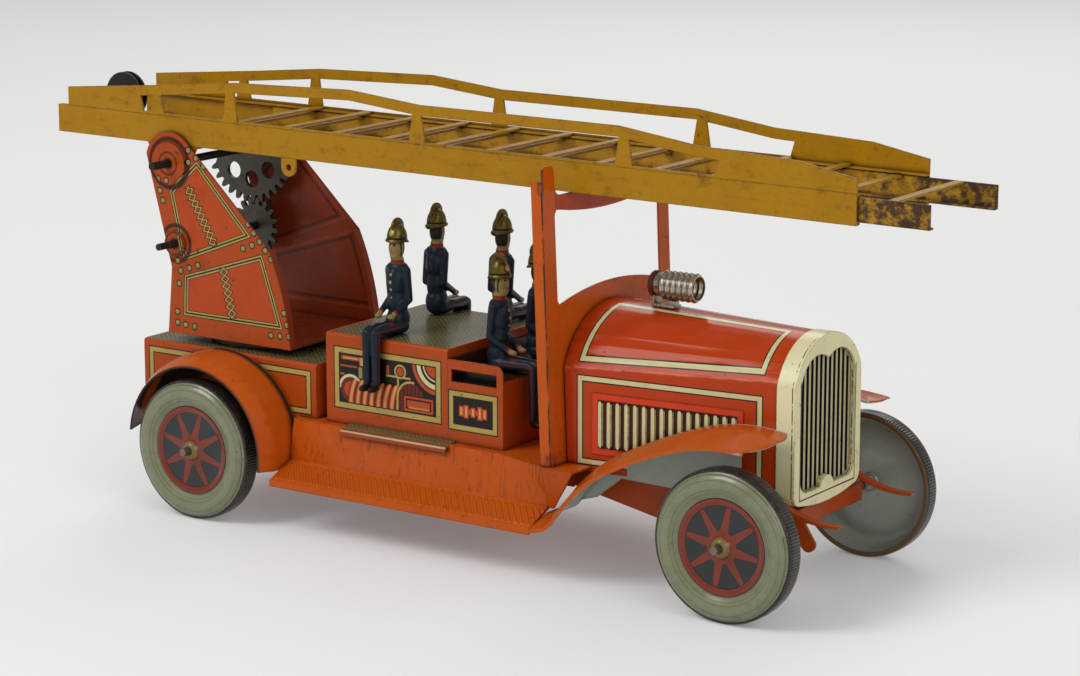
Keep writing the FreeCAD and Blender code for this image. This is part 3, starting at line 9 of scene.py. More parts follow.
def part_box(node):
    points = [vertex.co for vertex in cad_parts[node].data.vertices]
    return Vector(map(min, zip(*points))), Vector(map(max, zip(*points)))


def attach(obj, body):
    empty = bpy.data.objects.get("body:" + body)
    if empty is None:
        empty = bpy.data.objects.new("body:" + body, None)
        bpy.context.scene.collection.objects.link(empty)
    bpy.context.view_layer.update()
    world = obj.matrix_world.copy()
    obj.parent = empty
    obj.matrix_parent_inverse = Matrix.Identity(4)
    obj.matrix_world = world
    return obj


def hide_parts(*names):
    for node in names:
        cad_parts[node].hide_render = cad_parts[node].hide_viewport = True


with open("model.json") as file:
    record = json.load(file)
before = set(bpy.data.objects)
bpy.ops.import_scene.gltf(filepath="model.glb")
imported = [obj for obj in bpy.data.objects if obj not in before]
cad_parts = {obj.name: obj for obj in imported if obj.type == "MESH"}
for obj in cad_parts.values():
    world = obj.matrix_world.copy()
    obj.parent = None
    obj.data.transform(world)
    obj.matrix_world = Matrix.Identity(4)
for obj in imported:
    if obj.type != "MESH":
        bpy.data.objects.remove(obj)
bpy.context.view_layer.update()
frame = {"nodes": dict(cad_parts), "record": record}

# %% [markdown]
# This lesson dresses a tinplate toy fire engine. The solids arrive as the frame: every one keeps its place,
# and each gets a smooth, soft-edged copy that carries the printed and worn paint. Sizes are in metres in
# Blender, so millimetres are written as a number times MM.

MM = 0.001
nodes = frame["nodes"]
body_of_node = {name: body for body, names in frame["record"]["behaviour"]["bodies"].items() for name in names}


def corners(node):
    """Lowest and highest corner of a solid, in millimetres."""
    return [[value / MM for value in corner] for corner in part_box(node)]


def span(start, end):
    """The middle and the half length of a stretch."""
    return (start + end) / 2, (end - start) / 2


# %% [markdown]
# The camera stands where the photographer stood: 34 degrees round to the toy's front right and 12 degrees up,
# about a metre away with a long lens. The photograph was cropped off centre, and the two small shifts repeat
# that crop.

# %% Camera
PHOTO_AZIMUTH, PHOTO_ELEVATION = 34.32, 11.56
CAMERA_PLACE = Vector((615.4, -861.7, 300.6)) * MM
LENS = 100.83
CROP_RIGHT, CROP_UP = -0.01268, -0.03354

camera_data = bpy.data.cameras.new("camera")
camera = bpy.data.objects.new("camera", camera_data)
bpy.context.scene.collection.objects.link(camera)
azimuth, elevation = math.radians(PHOTO_AZIMUTH), math.radians(PHOTO_ELEVATION)
toward_camera = Vector((math.sin(azimuth) * math.cos(elevation), -math.cos(azimuth) * math.cos(elevation),
                        math.sin(elevation)))
camera.location = CAMERA_PLACE
camera.rotation_mode = "QUATERNION"
camera.rotation_quaternion = (-toward_camera).to_track_quat("-Z", "Y")
camera_data.lens = LENS
camera_data.shift_x, camera_data.shift_y = CROP_RIGHT, CROP_UP
camera_data.clip_start, camera_data.clip_end = 0.05, 50
bpy.context.scene.camera = camera
print("camera", round(CAMERA_PLACE.length, 2), "m from the origin")

# %% [markdown]
# A few small tools take up what would repeat: clearing the selection, making pieces active, adding a modifier
# and applying it, and adding a shader node with its values and links.

# %% Small tools
def deselect():
    if bpy.context.object and bpy.context.object.mode != "OBJECT":
        bpy.ops.object.mode_set(mode="OBJECT")
    bpy.ops.object.select_all(action="DESELECT")


def activate(*pieces):
    """Selects only these pieces, and makes the first one active."""
    deselect()
    for piece in pieces:
        piece.select_set(True)
    bpy.context.view_layer.objects.active = pieces[0]


def settle():
    """Moves the active piece's place, turn and scale into its mesh."""
    bpy.ops.object.transform_apply(location=True, rotation=True, scale=True)


def apply_modifier(piece, kind, **settings):
    """Adds a modifier with these settings and applies it."""
    activate(piece)
    modifier = piece.modifiers.new(kind.lower(), kind)
    for key, value in settings.items():
        setattr(modifier, key, value)
    bpy.ops.object.modifier_apply(modifier=modifier.name)


def add_node(tree, kind, values=(), links=(), **settings):
    """A new shader node. values are for its inputs, and links are the sockets that feed them."""
    node = tree.nodes.new("ShaderNode" + kind)
    for key, value in settings.items():
        setattr(node, key, value)
    for key, value in dict(values).items():
        node.inputs[key].default_value = value
    for key, socket in dict(links).items():
        tree.links.new(socket, node.inputs[key])
    return node


print("tools ready")

# %% [markdown]
# The toy stands on white paper. The floor is one large plane: it is lit like the toy, and only where the camera
# or a reflection looks at it, a little white is added, so the paper is bright and still shows the shadow. A
# large soft lamp hangs high on the left, a weaker one on the right and a third behind, and the world fills the
# rest evenly.

# %% Floor, world and lamps
FLOOR_HALF = 12.0
FLOOR_LOOK = {"Base Color": (0.80, 0.80, 0.80, 1), "Roughness": 0.75, "Specular IOR Level": 0.15}
WORLD_GREY = (0.85, 0.84, 0.82, 1)
WORLD_LEVEL = 0.50
PAPER_LIFT = 0.15
LAMP_TARGET = Vector((0, 0, 0.08))
LAMPS = {"key": ((-0.75, -1.25, 1.5), 0.9, 17), "fill": ((1.6, -0.9, 0.9), 1.2, 9.5),
         "rim": ((-0.6, 1.5, 1.3), 1.0, 7)}

deselect()
bpy.ops.mesh.primitive_plane_add(size=2 * FLOOR_HALF, location=(0, 0, 0))
floor = bpy.context.object
floor.name = "paper_floor"
floor_paint = bpy.data.materials.new("paper")
floor_paint.use_nodes = True
tree = floor_paint.node_tree
paper = tree.nodes["Principled BSDF"]
for socket, value in FLOOR_LOOK.items():
    paper.inputs[socket].default_value = value
ray = add_node(tree, "LightPath")
seen = add_node(tree, "Math", (), {0: ray.outputs["Is Camera Ray"], 1: ray.outputs["Is Glossy Ray"]},
                operation="MAXIMUM")
lift = add_node(tree, "Math", {1: PAPER_LIFT}, {0: seen.outputs[0]}, operation="MULTIPLY")
glow = add_node(tree, "Emission", (), {"Strength": lift.outputs[0]})
both = add_node(tree, "AddShader", (), {0: paper.outputs[0], 1: glow.outputs[0]})
tree.links.new(both.outputs[0], tree.nodes["Material Output"].inputs["Surface"])
floor.data.materials.append(floor_paint)

world = bpy.data.worlds.new("studio")
bpy.context.scene.world = world
world.use_nodes = True
backdrop = world.node_tree.nodes["Background"]
backdrop.inputs["Color"].default_value = WORLD_GREY
backdrop.inputs["Strength"].default_value = WORLD_LEVEL

for name, (place, size, watts) in LAMPS.items():
    light = bpy.data.lights.new(name, "AREA")
    light.shape = "SQUARE"
    light.size = size
    light.energy = watts
    lamp = bpy.data.objects.new(name, light)
    lamp.location = place
    lamp.rotation_mode = "QUATERNION"
    lamp.rotation_quaternion = (LAMP_TARGET - Vector(place)).to_track_quat("-Z", "Y")
    bpy.context.scene.collection.objects.link(lamp)
bpy.context.scene.view_settings.view_transform = "Standard"
print("stage: floor, world and", len(LAMPS), "lamps")

# %% [markdown]
# Printed tin is a picture in flat inks, so the materials are written as arithmetic on the surface's own place
# in millimetres. A Field is one such number; it turns each sum into a Math node. Shapes are distances: less
# than zero is inside, and `inside` turns a distance into a soft-edged mask.

# %% Arithmetic on a surface
EDGE_BLUR = 0.12


class Field:
    """A number that varies over the surface. tree and place belong to the material in work."""

    tree = None
    place = None

    def __init__(self, socket):
        self.socket = socket

    def __add__(self, other):
        return maths("ADD", self, other)

    def __radd__(self, other):
        return maths("ADD", other, self)

    def __sub__(self, other):
        return maths("SUBTRACT", self, other)

    def __rsub__(self, other):
        return maths("SUBTRACT", other, self)

    def __mul__(self, other):
        return maths("MULTIPLY", self, other)

    def __truediv__(self, other):
        return maths("DIVIDE", self, other)

    def __abs__(self):
        return maths("ABSOLUTE", self)


def maths(kind, *terms, clamp=False):
    values = {n: term for n, term in enumerate(terms) if not isinstance(term, Field)}
    links = {n: term.socket for n, term in enumerate(terms) if isinstance(term, Field)}
    return Field(add_node(Field.tree, "Math", values, links, operation=kind, use_clamp=clamp).outputs[0])


def least(*terms):
    return functools.reduce(functools.partial(maths, "MINIMUM"), terms)


def most(*terms):
    return functools.reduce(functools.partial(maths, "MAXIMUM"), terms)


def inside(distance, blur=EDGE_BLUR):
    """1 where a distance is below zero, with an edge that fades over blur millimetres."""
    return maths("MULTIPLY_ADD", distance, -1.0 / blur, 0.5, clamp=True)


def ribbon(distance, half, blur=EDGE_BLUR):
    """A line of the given half width where the distance is zero."""
    return inside(abs(distance) - half, blur)


def step_up(value, start, end):
    """0 below start, 1 above end, straight between."""
    return maths("MULTIPLY_ADD", value, 1.0 / (end - start), -start / (end - start), clamp=True)


def box_gap(u, v, middle_u, middle_v, half_u, half_v):
    return most(abs(u - middle_u) - half_u, abs(v - middle_v) - half_v)


def rect_gap(u, v, left, right, bottom, top):
    """Distance to a rectangle that is given by its four sides."""
    (middle_u, half_u), (middle_v, half_v) = span(left, right), span(bottom, top)
    return box_gap(u, v, middle_u, middle_v, half_u, half_v)


def ball_gap(place, middle, radius):
    """Distance to a disc in two coordinates, or to a ball in three."""
    offsets = [value - centre for value, centre in zip(place, middle)]
    squares = [offset * offset for offset in offsets]
    return maths("SQRT", functools.reduce(functools.partial(maths, "ADD"), squares)) - radius


def edge_gap(u, v, start, end):
    """Signed distance to the line from start to end; its left side is inside."""
    du, dv = end[0] - start[0], end[1] - start[1]
    size = math.hypot(du, dv)
    return (u - start[0]) * (dv / size) - (v - start[1]) * (du / size)


def polygon_gap(u, v, spots):
    """Distance to a convex outline whose corners run anticlockwise."""
    return most(*[edge_gap(u, v, a, b) for a, b in zip(spots, spots[1:] + spots[:1])])


def remainder(value, step):
    """Distance to the nearest whole multiple of a step."""
    return maths("PINGPONG", value, step / 2)


print("surface arithmetic ready")

# %% [markdown]
# Colours were judged from the photograph and are written in the usual 0 to 255 steps, then turned
# linear for the shader.

# %% Inks
def ink(red, green, blue):
    """A screen colour as the linear colour that shaders use."""
    steps = [value / 255 for value in (red, green, blue)]
    return tuple(s / 12.92 if s < 0.04045 else ((s + 0.055) / 1.055) ** 2.4 for s in steps) + (1.0,)


ORANGE, DEEP_ORANGE, BONNET_RED = ink(190, 84, 16), ink(170, 70, 18), ink(182, 60, 14)
CREAM, GOLD_LINE, PRINT_BLACK = ink(208, 200, 150), ink(176, 154, 84), ink(30, 26, 22)
OLIVE, OCHRE = ink(150, 142, 88), ink(168, 121, 8)
TERRACOTTA, PALE_ORANGE, DRUM_RED = ink(178, 74, 36), ink(214, 148, 84), ink(104, 38, 22)
DARK_TIN, RUST = ink(58, 50, 44), ink(96, 58, 34)
TYRE_GREY, SPOKE_RED, TREAD_BLACK = ink(128, 131, 102), ink(122, 44, 24), ink(34, 31, 28)
PAN_GREY, WING_GREY = ink(154, 158, 150), ink(168, 172, 162)
NAVY, SKIN, HELMET_BRASS = ink(27, 36, 48), ink(138, 120, 72), ink(104, 88, 42)
print("inks mixed")

# %% [markdown]
# A material reads the surface's place from the object, its mottling from noise of a known size in millimetres,
# its folds from the Bevel node, and the way it faces from the normal.

# %% Readings of the surface
def split_place(socket):
    """Keeps the socket as the material's place, and gives its three coordinates."""
    Field.place = socket
    split = add_node(Field.tree, "SeparateXYZ", (), {0: socket})
    return tuple(Field(part) for part in split.outputs)


def object_place():
    """The three coordinates of the surface in millimetres."""
    coordinates = add_node(Field.tree, "TexCoord")
    scale = add_node(Field.tree, "VectorMath", (), {0: coordinates.outputs["Object"]}, operation="SCALE")
    scale.inputs["Scale"].default_value = 1 / MM
    return split_place(scale.outputs[0])


def normal_part(n):
    """One coordinate of the direction that the surface faces."""
    geometry = add_node(Field.tree, "NewGeometry")
    return Field(add_node(Field.tree, "SeparateXYZ", (), {0: geometry.outputs["Normal"]}).outputs[n])


def mottle(feature, detail=3.0, roughness=0.55, stretch=(1, 1, 1)):
    """Noise whose features are about that many millimetres across."""
    mapping = add_node(Field.tree, "Mapping", {"Scale": stretch}, {"Vector": Field.place})
    size = {"Scale": 1.0 / feature, "Detail": detail, "Roughness": roughness}
    return Field(add_node(Field.tree, "TexNoise", size, {"Vector": mapping.outputs[0]}).outputs["Fac"])


def fold_edges(radius):
    """Near 1 on sharp folds and rims, 0 on flat sheet."""
    bevel = add_node(Field.tree, "Bevel", {"Radius": radius * MM}, samples=4)
    geometry = add_node(Field.tree, "NewGeometry")
    dot = add_node(Field.tree, "VectorMath", (), {0: bevel.outputs[0], 1: geometry.outputs["Normal"]},
                   operation="DOT_PRODUCT")
    return 1 - Field(dot.outputs["Value"])


print("surface readings ready")

# %% [markdown]
# Old enamel on tin is glossy with fine ripples, darker where hands rubbed it, and chipped to dull metal along
# folded edges. `enamel` builds that once for every piece: base ink, printed layers on top, mottling, painted shade
# and grime in the crevices found with Ambient Occlusion, edge chips, scattered specks, and a little relief.

# %% Enamel
CLOUD_TINT, DIRT_TINT, CREVICE_SHADE_AND_GRIME = (0.62, 0.52, 0.42, 1), (0.34, 0.26, 0.18, 1), (0.16, 0.10, 0.07, 1)
CREVICE_REACH, FOLD_REACH = 2.6, 0.8


class Coat:
    """The colour of a material while layers go on it."""

    def __init__(self, colour):
        self.socket = add_node(Field.tree, "RGB").outputs[0]
        self.socket.default_value = colour

    def lay(self, mask, colour, blend="MIX"):
        """Puts a colour where the mask is 1."""
        node = add_node(Field.tree, "Mix", data_type="RGBA", blend_type=blend, clamp_factor=True)
        Field.tree.links.new(mask.socket, node.inputs[0])
        Field.tree.links.new(self.socket, node.inputs[6])
        node.inputs[7].default_value = colour
        self.socket = node.outputs[2]

    def fill(self, gap, colour, where=1.0, blur=EDGE_BLUR):
        """Inks the inside of a shape, as far as the mask where allows."""
        self.lay(inside(gap, blur) * where, colour)

    def line(self, gap, half, colour, where=1.0, blur=EDGE_BLUR):
        """Draws along a shape's edge, as far as the mask where allows."""
        self.lay(ribbon(gap, half, blur) * where, colour)


def enamel(name, colour, picture=None, relief=None, gloss=0.30, wear=1.0, under=DARK_TIN, metal=0.0, chips=1.0,
           place_from=object_place, dirt=0.35, sheen_level=0.18):
    """A worn painted or bare finish. picture(coat, x, y, h) adds inks and relief(x, y, h) gives a height in mm."""
    paint = bpy.data.materials.new(name)
    paint.use_nodes = True
    tree = Field.tree = paint.node_tree
    x, y, h = place_from()
    coat = Coat(colour)
    if picture:
        picture(coat, x, y, h)
    clouds, fine, grime = mottle(14, 4), mottle(1.1, 2), mottle(5, 5, 0.7)
    coat.lay(step_up(clouds, 0.45, 0.75) * (0.22 * wear), CLOUD_TINT, "MULTIPLY")
    coat.lay(step_up(grime, 0.55, 0.78) * (dirt * wear), DIRT_TINT, "MULTIPLY")
    open_sky = Field(add_node(tree, "AmbientOcclusion", {"Distance": CREVICE_REACH * MM}, samples=6).outputs["AO"])
    # Painted shade with some grime: where Ambient Occlusion finds a crevice, the colour is darkened.
    coat.lay(step_up(open_sky + (grime - 0.5) * 0.3, 0.86, 0.42) * (0.75 * wear), CREVICE_SHADE_AND_GRIME, "MULTIPLY")
    chipped = step_up(fold_edges(FOLD_REACH) + (fine - 0.5) * 0.5 + (grime - 0.5) * 0.9, 0.19, 0.30) * chips
    specks = step_up(fine + (grime - 0.5) * 0.7, 0.745, 0.785) * min(1.0, wear)
    bare = most(chipped, specks)
    coat.lay(bare, under)
    rough = (clouds - 0.5) * 0.18 + (grime - 0.5) * 0.16 + bare * 0.22 + gloss
    ripple = mottle(2.6, 3) * 0.035 + fine * 0.012 - bare * 0.05
    if relief:
        ripple = ripple + relief(x, y, h)
    bump = add_node(tree, "Bump", {"Strength": 1.0, "Distance": MM}, {"Height": ripple.socket})
    shader = tree.nodes["Principled BSDF"]
    tree.links.new(coat.socket, shader.inputs["Base Color"])
    tree.links.new(rough.socket, shader.inputs["Roughness"])
    tree.links.new(bump.outputs[0], shader.inputs["Normal"])
    shader.inputs["Specular IOR Level"].default_value = sheen_level
    shader.inputs["Metallic"].default_value = metal
    return paint


print("enamel recipe ready")

# %% [markdown]
# The solids are loose triangles with knife edges. Pressed tin has small soft folds, so each solid gets a copy
# whose triangles are merged, whose flat parts are cleaned and whose sharp edges are slightly rounded. The copy
# stands for the solid, and rides with the same body.

# %% Soft-edged copies of the solids
SOFT_EDGE = 0.14
FOLD_ANGLE = math.radians(32)
MERGE_GAP, FLAT_ANGLE = 0.002, math.radians(0.4)


def finished(piece, body, paint, replaced=()):
    """Gives a finished piece its paint, parents it to the body it rides with, and hides the solids it stands for."""
    piece.data.materials.clear()
    piece.data.materials.append(paint)
    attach(piece, body)
    if replaced:
        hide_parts(*replaced)


def pick(piece, test, kind="VERT"):
    """In edit mode, selects the vertices whose place in millimetres passes the test, or the edges between them."""
    bpy.ops.object.mode_set(mode="EDIT")
    bpy.ops.mesh.select_mode(type=kind)
    bpy.ops.mesh.select_all(action="DESELECT")
    bpy.ops.object.mode_set(mode="OBJECT")
    chosen = [test(*(vertex.co / MM)) for vertex in piece.data.vertices]
    for vertex, taken in zip(piece.data.vertices, chosen):
        vertex.select = taken
    for edge in piece.data.edges:
        edge.select = all(chosen[n] for n in edge.vertices)
    bpy.ops.object.mode_set(mode="EDIT")


def soften(piece, width):
    """Shades the curves smooth and rounds the folds a little."""
    activate(piece)
    bpy.ops.object.shade_smooth_by_angle(angle=FOLD_ANGLE)
    apply_modifier(piece, "BEVEL", width=width * MM, segments=2, limit_method="ANGLE", angle_limit=FOLD_ANGLE,
                   harden_normals=True)


def soft_copy(node, paint, soft=SOFT_EDGE, reshape=None):
    """A merged copy of a solid with rounded folds, in the given paint. reshape(piece) works in edit mode."""
    piece = bpy.data.objects.new(node + "_tin", nodes[node].data.copy())
    bpy.context.scene.collection.objects.link(piece)
    activate(piece)
    bpy.ops.object.mode_set(mode="EDIT")
    bpy.ops.mesh.select_all(action="SELECT")
    bpy.ops.mesh.remove_doubles(threshold=MERGE_GAP * MM)
    bpy.ops.mesh.dissolve_limited(angle_limit=FLAT_ANGLE)
    if reshape:
        reshape(piece)
    soften(piece, soft)
    finished(piece, body_of_node[node], paint, [node])


print("copies will be softened by", SOFT_EDGE, "mm")

# %% [markdown]
# The long boxes are printed tin. Each side has a gold frame line with black edges. A frame line is the space
# between two rectangles, so one distance draws all three of its bands. The top of both boxes carries a small
# gold diaper pattern on near-black: crossing diagonals with a dot in every lozenge. Two slanted stripe fields
# give it, and it costs no geometry.

# %% Frame lines and diaper
LINE_HALF, LINE_BLACK = 0.85, 0.45
DIAPER_STEP, LID_RIM = 2.2, 1.1


def frame_line(coat, gap, where, colour=GOLD_LINE, half=LINE_HALF):
    """A lined border at gap zero, shown only where the mask where allows."""
    coat.line(gap, half + LINE_BLACK, PRINT_BLACK, where)
    coat.line(gap, half, colour, where)


def on_side(y, at, reach=0.5):
    """Mask of the two outer side faces at a distance from the middle."""
    return inside(at - reach - abs(y), 0.05)


def diaper(coat, u, v, where, step=DIAPER_STEP):
    """Gold lattice on black."""
    coat.lay(where, ink(40, 36, 28))
    across, along = remainder(u + v, step), remainder(u - v + 1000, step)
    lattice = most(inside(across - step * 0.10, 0.2), inside(along - step * 0.10, 0.2))
    dots = inside(most(step * 0.36 - across, step * 0.36 - along), 0.25)
    coat.lay(most(lattice, dots) * where * 0.75, OLIVE)


def lid_print(coat, x, y, h, lowest, highest):
    """The diaper on a box's top face, inside a plain rim."""
    middle, half = span(lowest[0], highest[0])
    rim = box_gap(x, y, middle, 0.0, half - LID_RIM, highest[1] - LID_RIM)
    diaper(coat, x, y, inside(highest[2] - 0.35 - h, 0.1) * inside(rim, 0.2))


print("frame line", 2 * LINE_HALF, "mm wide, diaper step", DIAPER_STEP, "mm")

# %% [markdown]
# Rear box: one long gold frame on each side and a smaller one on the rear face. The line stands 3 to 4 mm in
# from the box's edges, where the photograph shows it.

# %% Rear box
box_low, box_high = corners("rear_box")
BOX_MARGIN, BOX_SINK, BOX_TALLER = 3.6, 0.8, 0.6


def rear_box_print(coat, x, y, h):
    middle_x, half_x = span(box_low[0], box_high[0])
    middle_h, half_h = span(box_low[2], box_high[2])
    middle_h, half_h = middle_h - BOX_SINK, half_h - BOX_MARGIN + BOX_TALLER
    frame_line(coat, box_gap(x, h, middle_x, middle_h, half_x - BOX_MARGIN, half_h), on_side(y, box_high[1]))
    rear = inside(x - box_low[0] - 0.4, 0.05)
    frame_line(coat, box_gap(y, h, 0.0, middle_h, box_high[1] - BOX_MARGIN, half_h), rear)
    lid_print(coat, x, y, h, box_low, box_high)


soft_copy("rear_box", enamel("rear box print", DEEP_ORANGE, rear_box_print, gloss=0.26))
print("rear box", round(box_high[0] - box_low[0], 1), "mm long")

# %% [markdown]
# The seat box side shows the pump gear as flat shapes: a ribbed hose coil on its drum, valve wheels on posts,
# quarter rings and a plate. It is one picture of discs, bands and bars on a black ground inside a gold frame.
# A bar is given by its rear, front, lower and upper end.

# %% Seat box
seat_low, seat_high = corners("seat_box")
PICTURE = (-47.7, -0.5, 45.3, 67.4)
COIL_REAR, COIL_FRONT, COIL_LOW, COIL_HIGH, COIL_STEP, COIL_LEAN = -42.0, -19.6, 47.6, 56.2, 3.06, 0.030
DRUM, DOME = (-40.4, 52.4), (-13.4, 52.3)
PIPES = [((-19.9, -19.1, 46.6, 52.3), GOLD_LINE), ((-24.4, -13.6, 59.3, 60.0), GOLD_LINE),
         ((-19.6, -18.8, 56.4, 60.0), GOLD_LINE), ((-24.3, -23.1, 60.3, 63.4), TERRACOTTA),
         ((-44.6, -28.0, 63.1, 64.6), TERRACOTTA), ((-43.8, -37.0, 63.6, 64.1), PALE_ORANGE),
         ((-36.3, -34.0, 61.6, 64.6), PALE_ORANGE), ((-45.0, -37.6, 60.5, 61.2), TERRACOTTA),
         ((-45.0, -43.2, 57.4, 58.2), TERRACOTTA), ((-36.8, -35.2, 57.0, 61.0), OLIVE)]
VALVES = [((-31.7, 59.1), 2.0, CREAM), ((-18.2, 61.7), 2.6, GOLD_LINE)]
CORNER_RINGS = [(10.8, TERRACOTTA), (9.4, PRINT_BLACK), (8.9, CREAM), (7.2, PRINT_BLACK), (6.2, CREAM),
                (5.6, PRINT_BLACK), (4.9, TERRACOTTA)]


def coil_print(coat, x, h, ground):
    """Ribbed hose bands that curve forward at the top."""
    lift = h - COIL_LOW
    lean = lift * lift * COIL_LEAN
    bands = remainder(x - lean - COIL_REAR + 120 * COIL_STEP, COIL_STEP)
    top = h - COIL_HIGH - bands * 0.5 + 0.4
    on_coil = inside(most(COIL_REAR - x + lean, x - lean - COIL_FRONT, COIL_LOW - h, top)) * ground
    coat.lay(on_coil, DRUM_RED)
    coat.fill(0.45 - bands, TERRACOTTA, on_coil, 0.3)
    coat.fill(0.95 - bands, PALE_ORANGE, on_coil, 0.4)


def seat_box_print(coat, x, y, h):
    side = on_side(y, seat_high[1])
    border = rect_gap(x, h, *PICTURE)
    ground = inside(border) * side
    coat.lay(ground, PRINT_BLACK)
    drum, dome = ball_gap((x, h), DRUM, 0), ball_gap((x, h), DOME, 0)
    coat.fill(most(drum - 4.6, COIL_LOW - h), DRUM_RED, ground)
    coat.fill(most(drum - 3.0, COIL_LOW - h), TERRACOTTA, ground)
    coat.line(drum - 5.1, 0.5, CREAM, ground * inside(52.6 - h))
    coil_print(coat, x, h, ground)
    coat.fill(most(dome - 5.6, DOME[1] - h), DRUM_RED, ground)
    coat.fill(most(abs(x - DOME[0]) - 5.6, h - DOME[1], COIL_LOW - 1.0 - h), DRUM_RED, ground)
    flutes = inside(most(abs(x - DOME[0]) - 5.2, h - 57.0, 47.4 - h)) * ground * 0.8
    coat.fill(remainder(x + 100, 1.7) - 0.3, PRINT_BLACK, flutes)
    coat.line(dome - 6.1, 0.38, GOLD_LINE, inside(most(DOME[1] - h, x + 12.0)) * ground)
    for sides, colour in PIPES:
        coat.fill(rect_gap(x, h, *sides), colour, ground)
    for spot, radius, rim in VALVES:
        wheel = ball_gap((x, h), spot, 0)
        for share, colour in ((1.0, rim), (0.74, PRINT_BLACK), (0.58, TERRACOTTA)):
            coat.fill(wheel - radius * share, colour, ground)
    corner = ball_gap((x, h), (PICTURE[1] - 1.6, PICTURE[3] - 1.4), 0)
    for radius, colour in CORNER_RINGS:
        coat.fill(corner - radius, colour, ground)
    plate = box_gap(x, h, -10.2, 50.6, 6.6, 2.9)
    coat.fill(plate, TERRACOTTA, ground)
    coat.line(plate, 0.2, PRINT_BLACK, ground)
    coat.line(plate + 1.3, 0.3, PRINT_BLACK, ground)
    coat.fill(rect_gap(x, h, -14.6, -5.4, 49.0, 49.5), GOLD_LINE, ground)
    frame_line(coat, border + 0.95, side, half=0.95)
    lid_print(coat, x, y, h, seat_low, seat_high)


soft_copy("seat_box", enamel("seat box print", DEEP_ORANGE, seat_box_print, gloss=0.26))
print("seat box picture", round(PICTURE[1] - PICTURE[0], 1), "mm long,", len(PIPES), "pipes and bars")

# %% [markdown]
# The driver's bench is a block with a level top and a rounded front corner. It starts as a cube, one edge is
# bevelled, and blocks are carved out for the seat between its sides and for the slot in each side. Its side has
# a small framed picture of a hose coupling, drawn as boxes on one axis, and the inside of the slot and the seat
# over the slot's length are painted near black as shade.

# %% Driver's bench
bench_low, bench_high = corners("driver_bench")
BENCH_TOP, BENCH_SEAT, BENCH_WALL, BENCH_ROUND = bench_high[2] + 0.6, 64.0, 0.8, 3.4
SLOT = (4.2, 23.6, 61.2, 65.6)
COUPLING = (13.5, 51.1)
COUPLING_LUMPS = ((-5.0, 1.7), (-2.9, 2.2), (0.0, 1.6), (2.9, 2.2), (5.0, 1.7))


def bench_print(coat, x, y, h):
    side = on_side(y, bench_high[1])
    border = box_gap(x, h, *COUPLING, 9.4, 6.0)
    ground = inside(border) * side
    coat.lay(ground, PRINT_BLACK)
    coat.fill(box_gap(x, h, *COUPLING, 6.0, 0.9), TERRACOTTA, ground)
    for offset, half in COUPLING_LUMPS:
        lump = box_gap(x, h, COUPLING[0] + offset, COUPLING[1], 0.8, half)
        coat.fill(lump - 0.2, TERRACOTTA, ground)
        coat.fill(lump + 0.35, PALE_ORANGE, ground)
    frame_line(coat, border, side)
    within = inside(abs(y) - bench_high[1] + 0.6, 0.1)
    # Painted shade: inside the slot, and on the seat and inner walls over the slot's length, near black.
    coat.fill(most(SLOT[0] - 0.3 - x, x - SLOT[1] - 0.3, h - SLOT[3] - 0.1), ink(22, 18, 16), within, 0.1)
    # Below 63.6 mm every face but the outer sides is dark brown, the slot's lower part included.
    coat.fill(63.6 - h, ink(60, 30, 18), within, 0.2)


def block(low_corner, high_corner):
    """A rectangular block between two corners, with its place in its mesh."""
    deselect()
    middle = [(a + b) / 2 * MM for a, b in zip(low_corner, high_corner)]
    bpy.ops.mesh.primitive_cube_add(size=1, location=middle)
    piece = bpy.context.object
    piece.scale = [(b - a) * MM for a, b in zip(low_corner, high_corner)]
    settle()
    return piece


def carve(piece, tool):
    """Cuts the tool out of the piece and clears the tool away."""
    apply_modifier(piece, "BOOLEAN", operation="DIFFERENCE", object=tool)
    bpy.data.objects.remove(tool)


bench = block(bench_low, (bench_high[0], bench_high[1], BENCH_TOP))
pick(bench, lambda x, y, h: x > bench_high[0] - 1 and h > BENCH_TOP - 1, "EDGE")
bpy.ops.mesh.bevel(offset=BENCH_ROUND * MM, segments=8, profile=0.5)
bpy.ops.object.mode_set(mode="OBJECT")
carve(bench, block((bench_low[0] + BENCH_WALL, BENCH_WALL - bench_high[1], BENCH_SEAT),
                   (bench_high[0] + 5, bench_high[1] - BENCH_WALL, BENCH_TOP + 5)))
for side in (-1, 1):
    inner, outer = sorted((side * (bench_high[1] - 5), side * (bench_high[1] + 1)))
    carve(bench, block((SLOT[0], inner, SLOT[2]), (SLOT[1], outer, SLOT[3])))
soften(bench, 0.16)
bench.name = "bench"
bench_paint = enamel("bench print", DEEP_ORANGE, bench_print, gloss=0.26)
finished(bench, "chassis", bench_paint, ["driver_bench"])
print("bench", round(bench_high[0] - bench_low[0], 1), "mm long")

# %% [markdown]
# The deck, boards, mudguards and wings are plain orange enamel, and differ only in their relief and in where
# they are rubbed. The running board has slanted ribs pressed into its outer half and dark streaks down its
# skirt. The wings are grey below, and the mudguards dark.

# %% Orange finishes
board_high = corners("running_boards")[1]
RIB_STEP = 2.7
REAR_AXLE = (-98.4, 26.0)


def board_ribs(x, y, h):
    """Slanted ribs on the sloping tread."""
    slant = remainder(x - abs(y) * 0.9 + 200, RIB_STEP)
    outer = step_up(abs(y), 38.0, 38.8) * (1 - step_up(abs(y), 46.4, 47.2))
    return step_up(slant, RIB_STEP * 0.14, RIB_STEP * 0.34) * outer * 0.38


def skirt_print(coat, x, y, h):
    """Dark streaks that run down the skirt."""
    streaks = mottle(1.5, 4, 0.7, (1, 1, 0.07))
    skirt = inside(24.6 - h, 0.5) * inside(31.5 - abs(y), 0.3)
    coat.lay(step_up(streaks, 0.54, 0.68) * skirt * 0.55, ink(92, 36, 14))


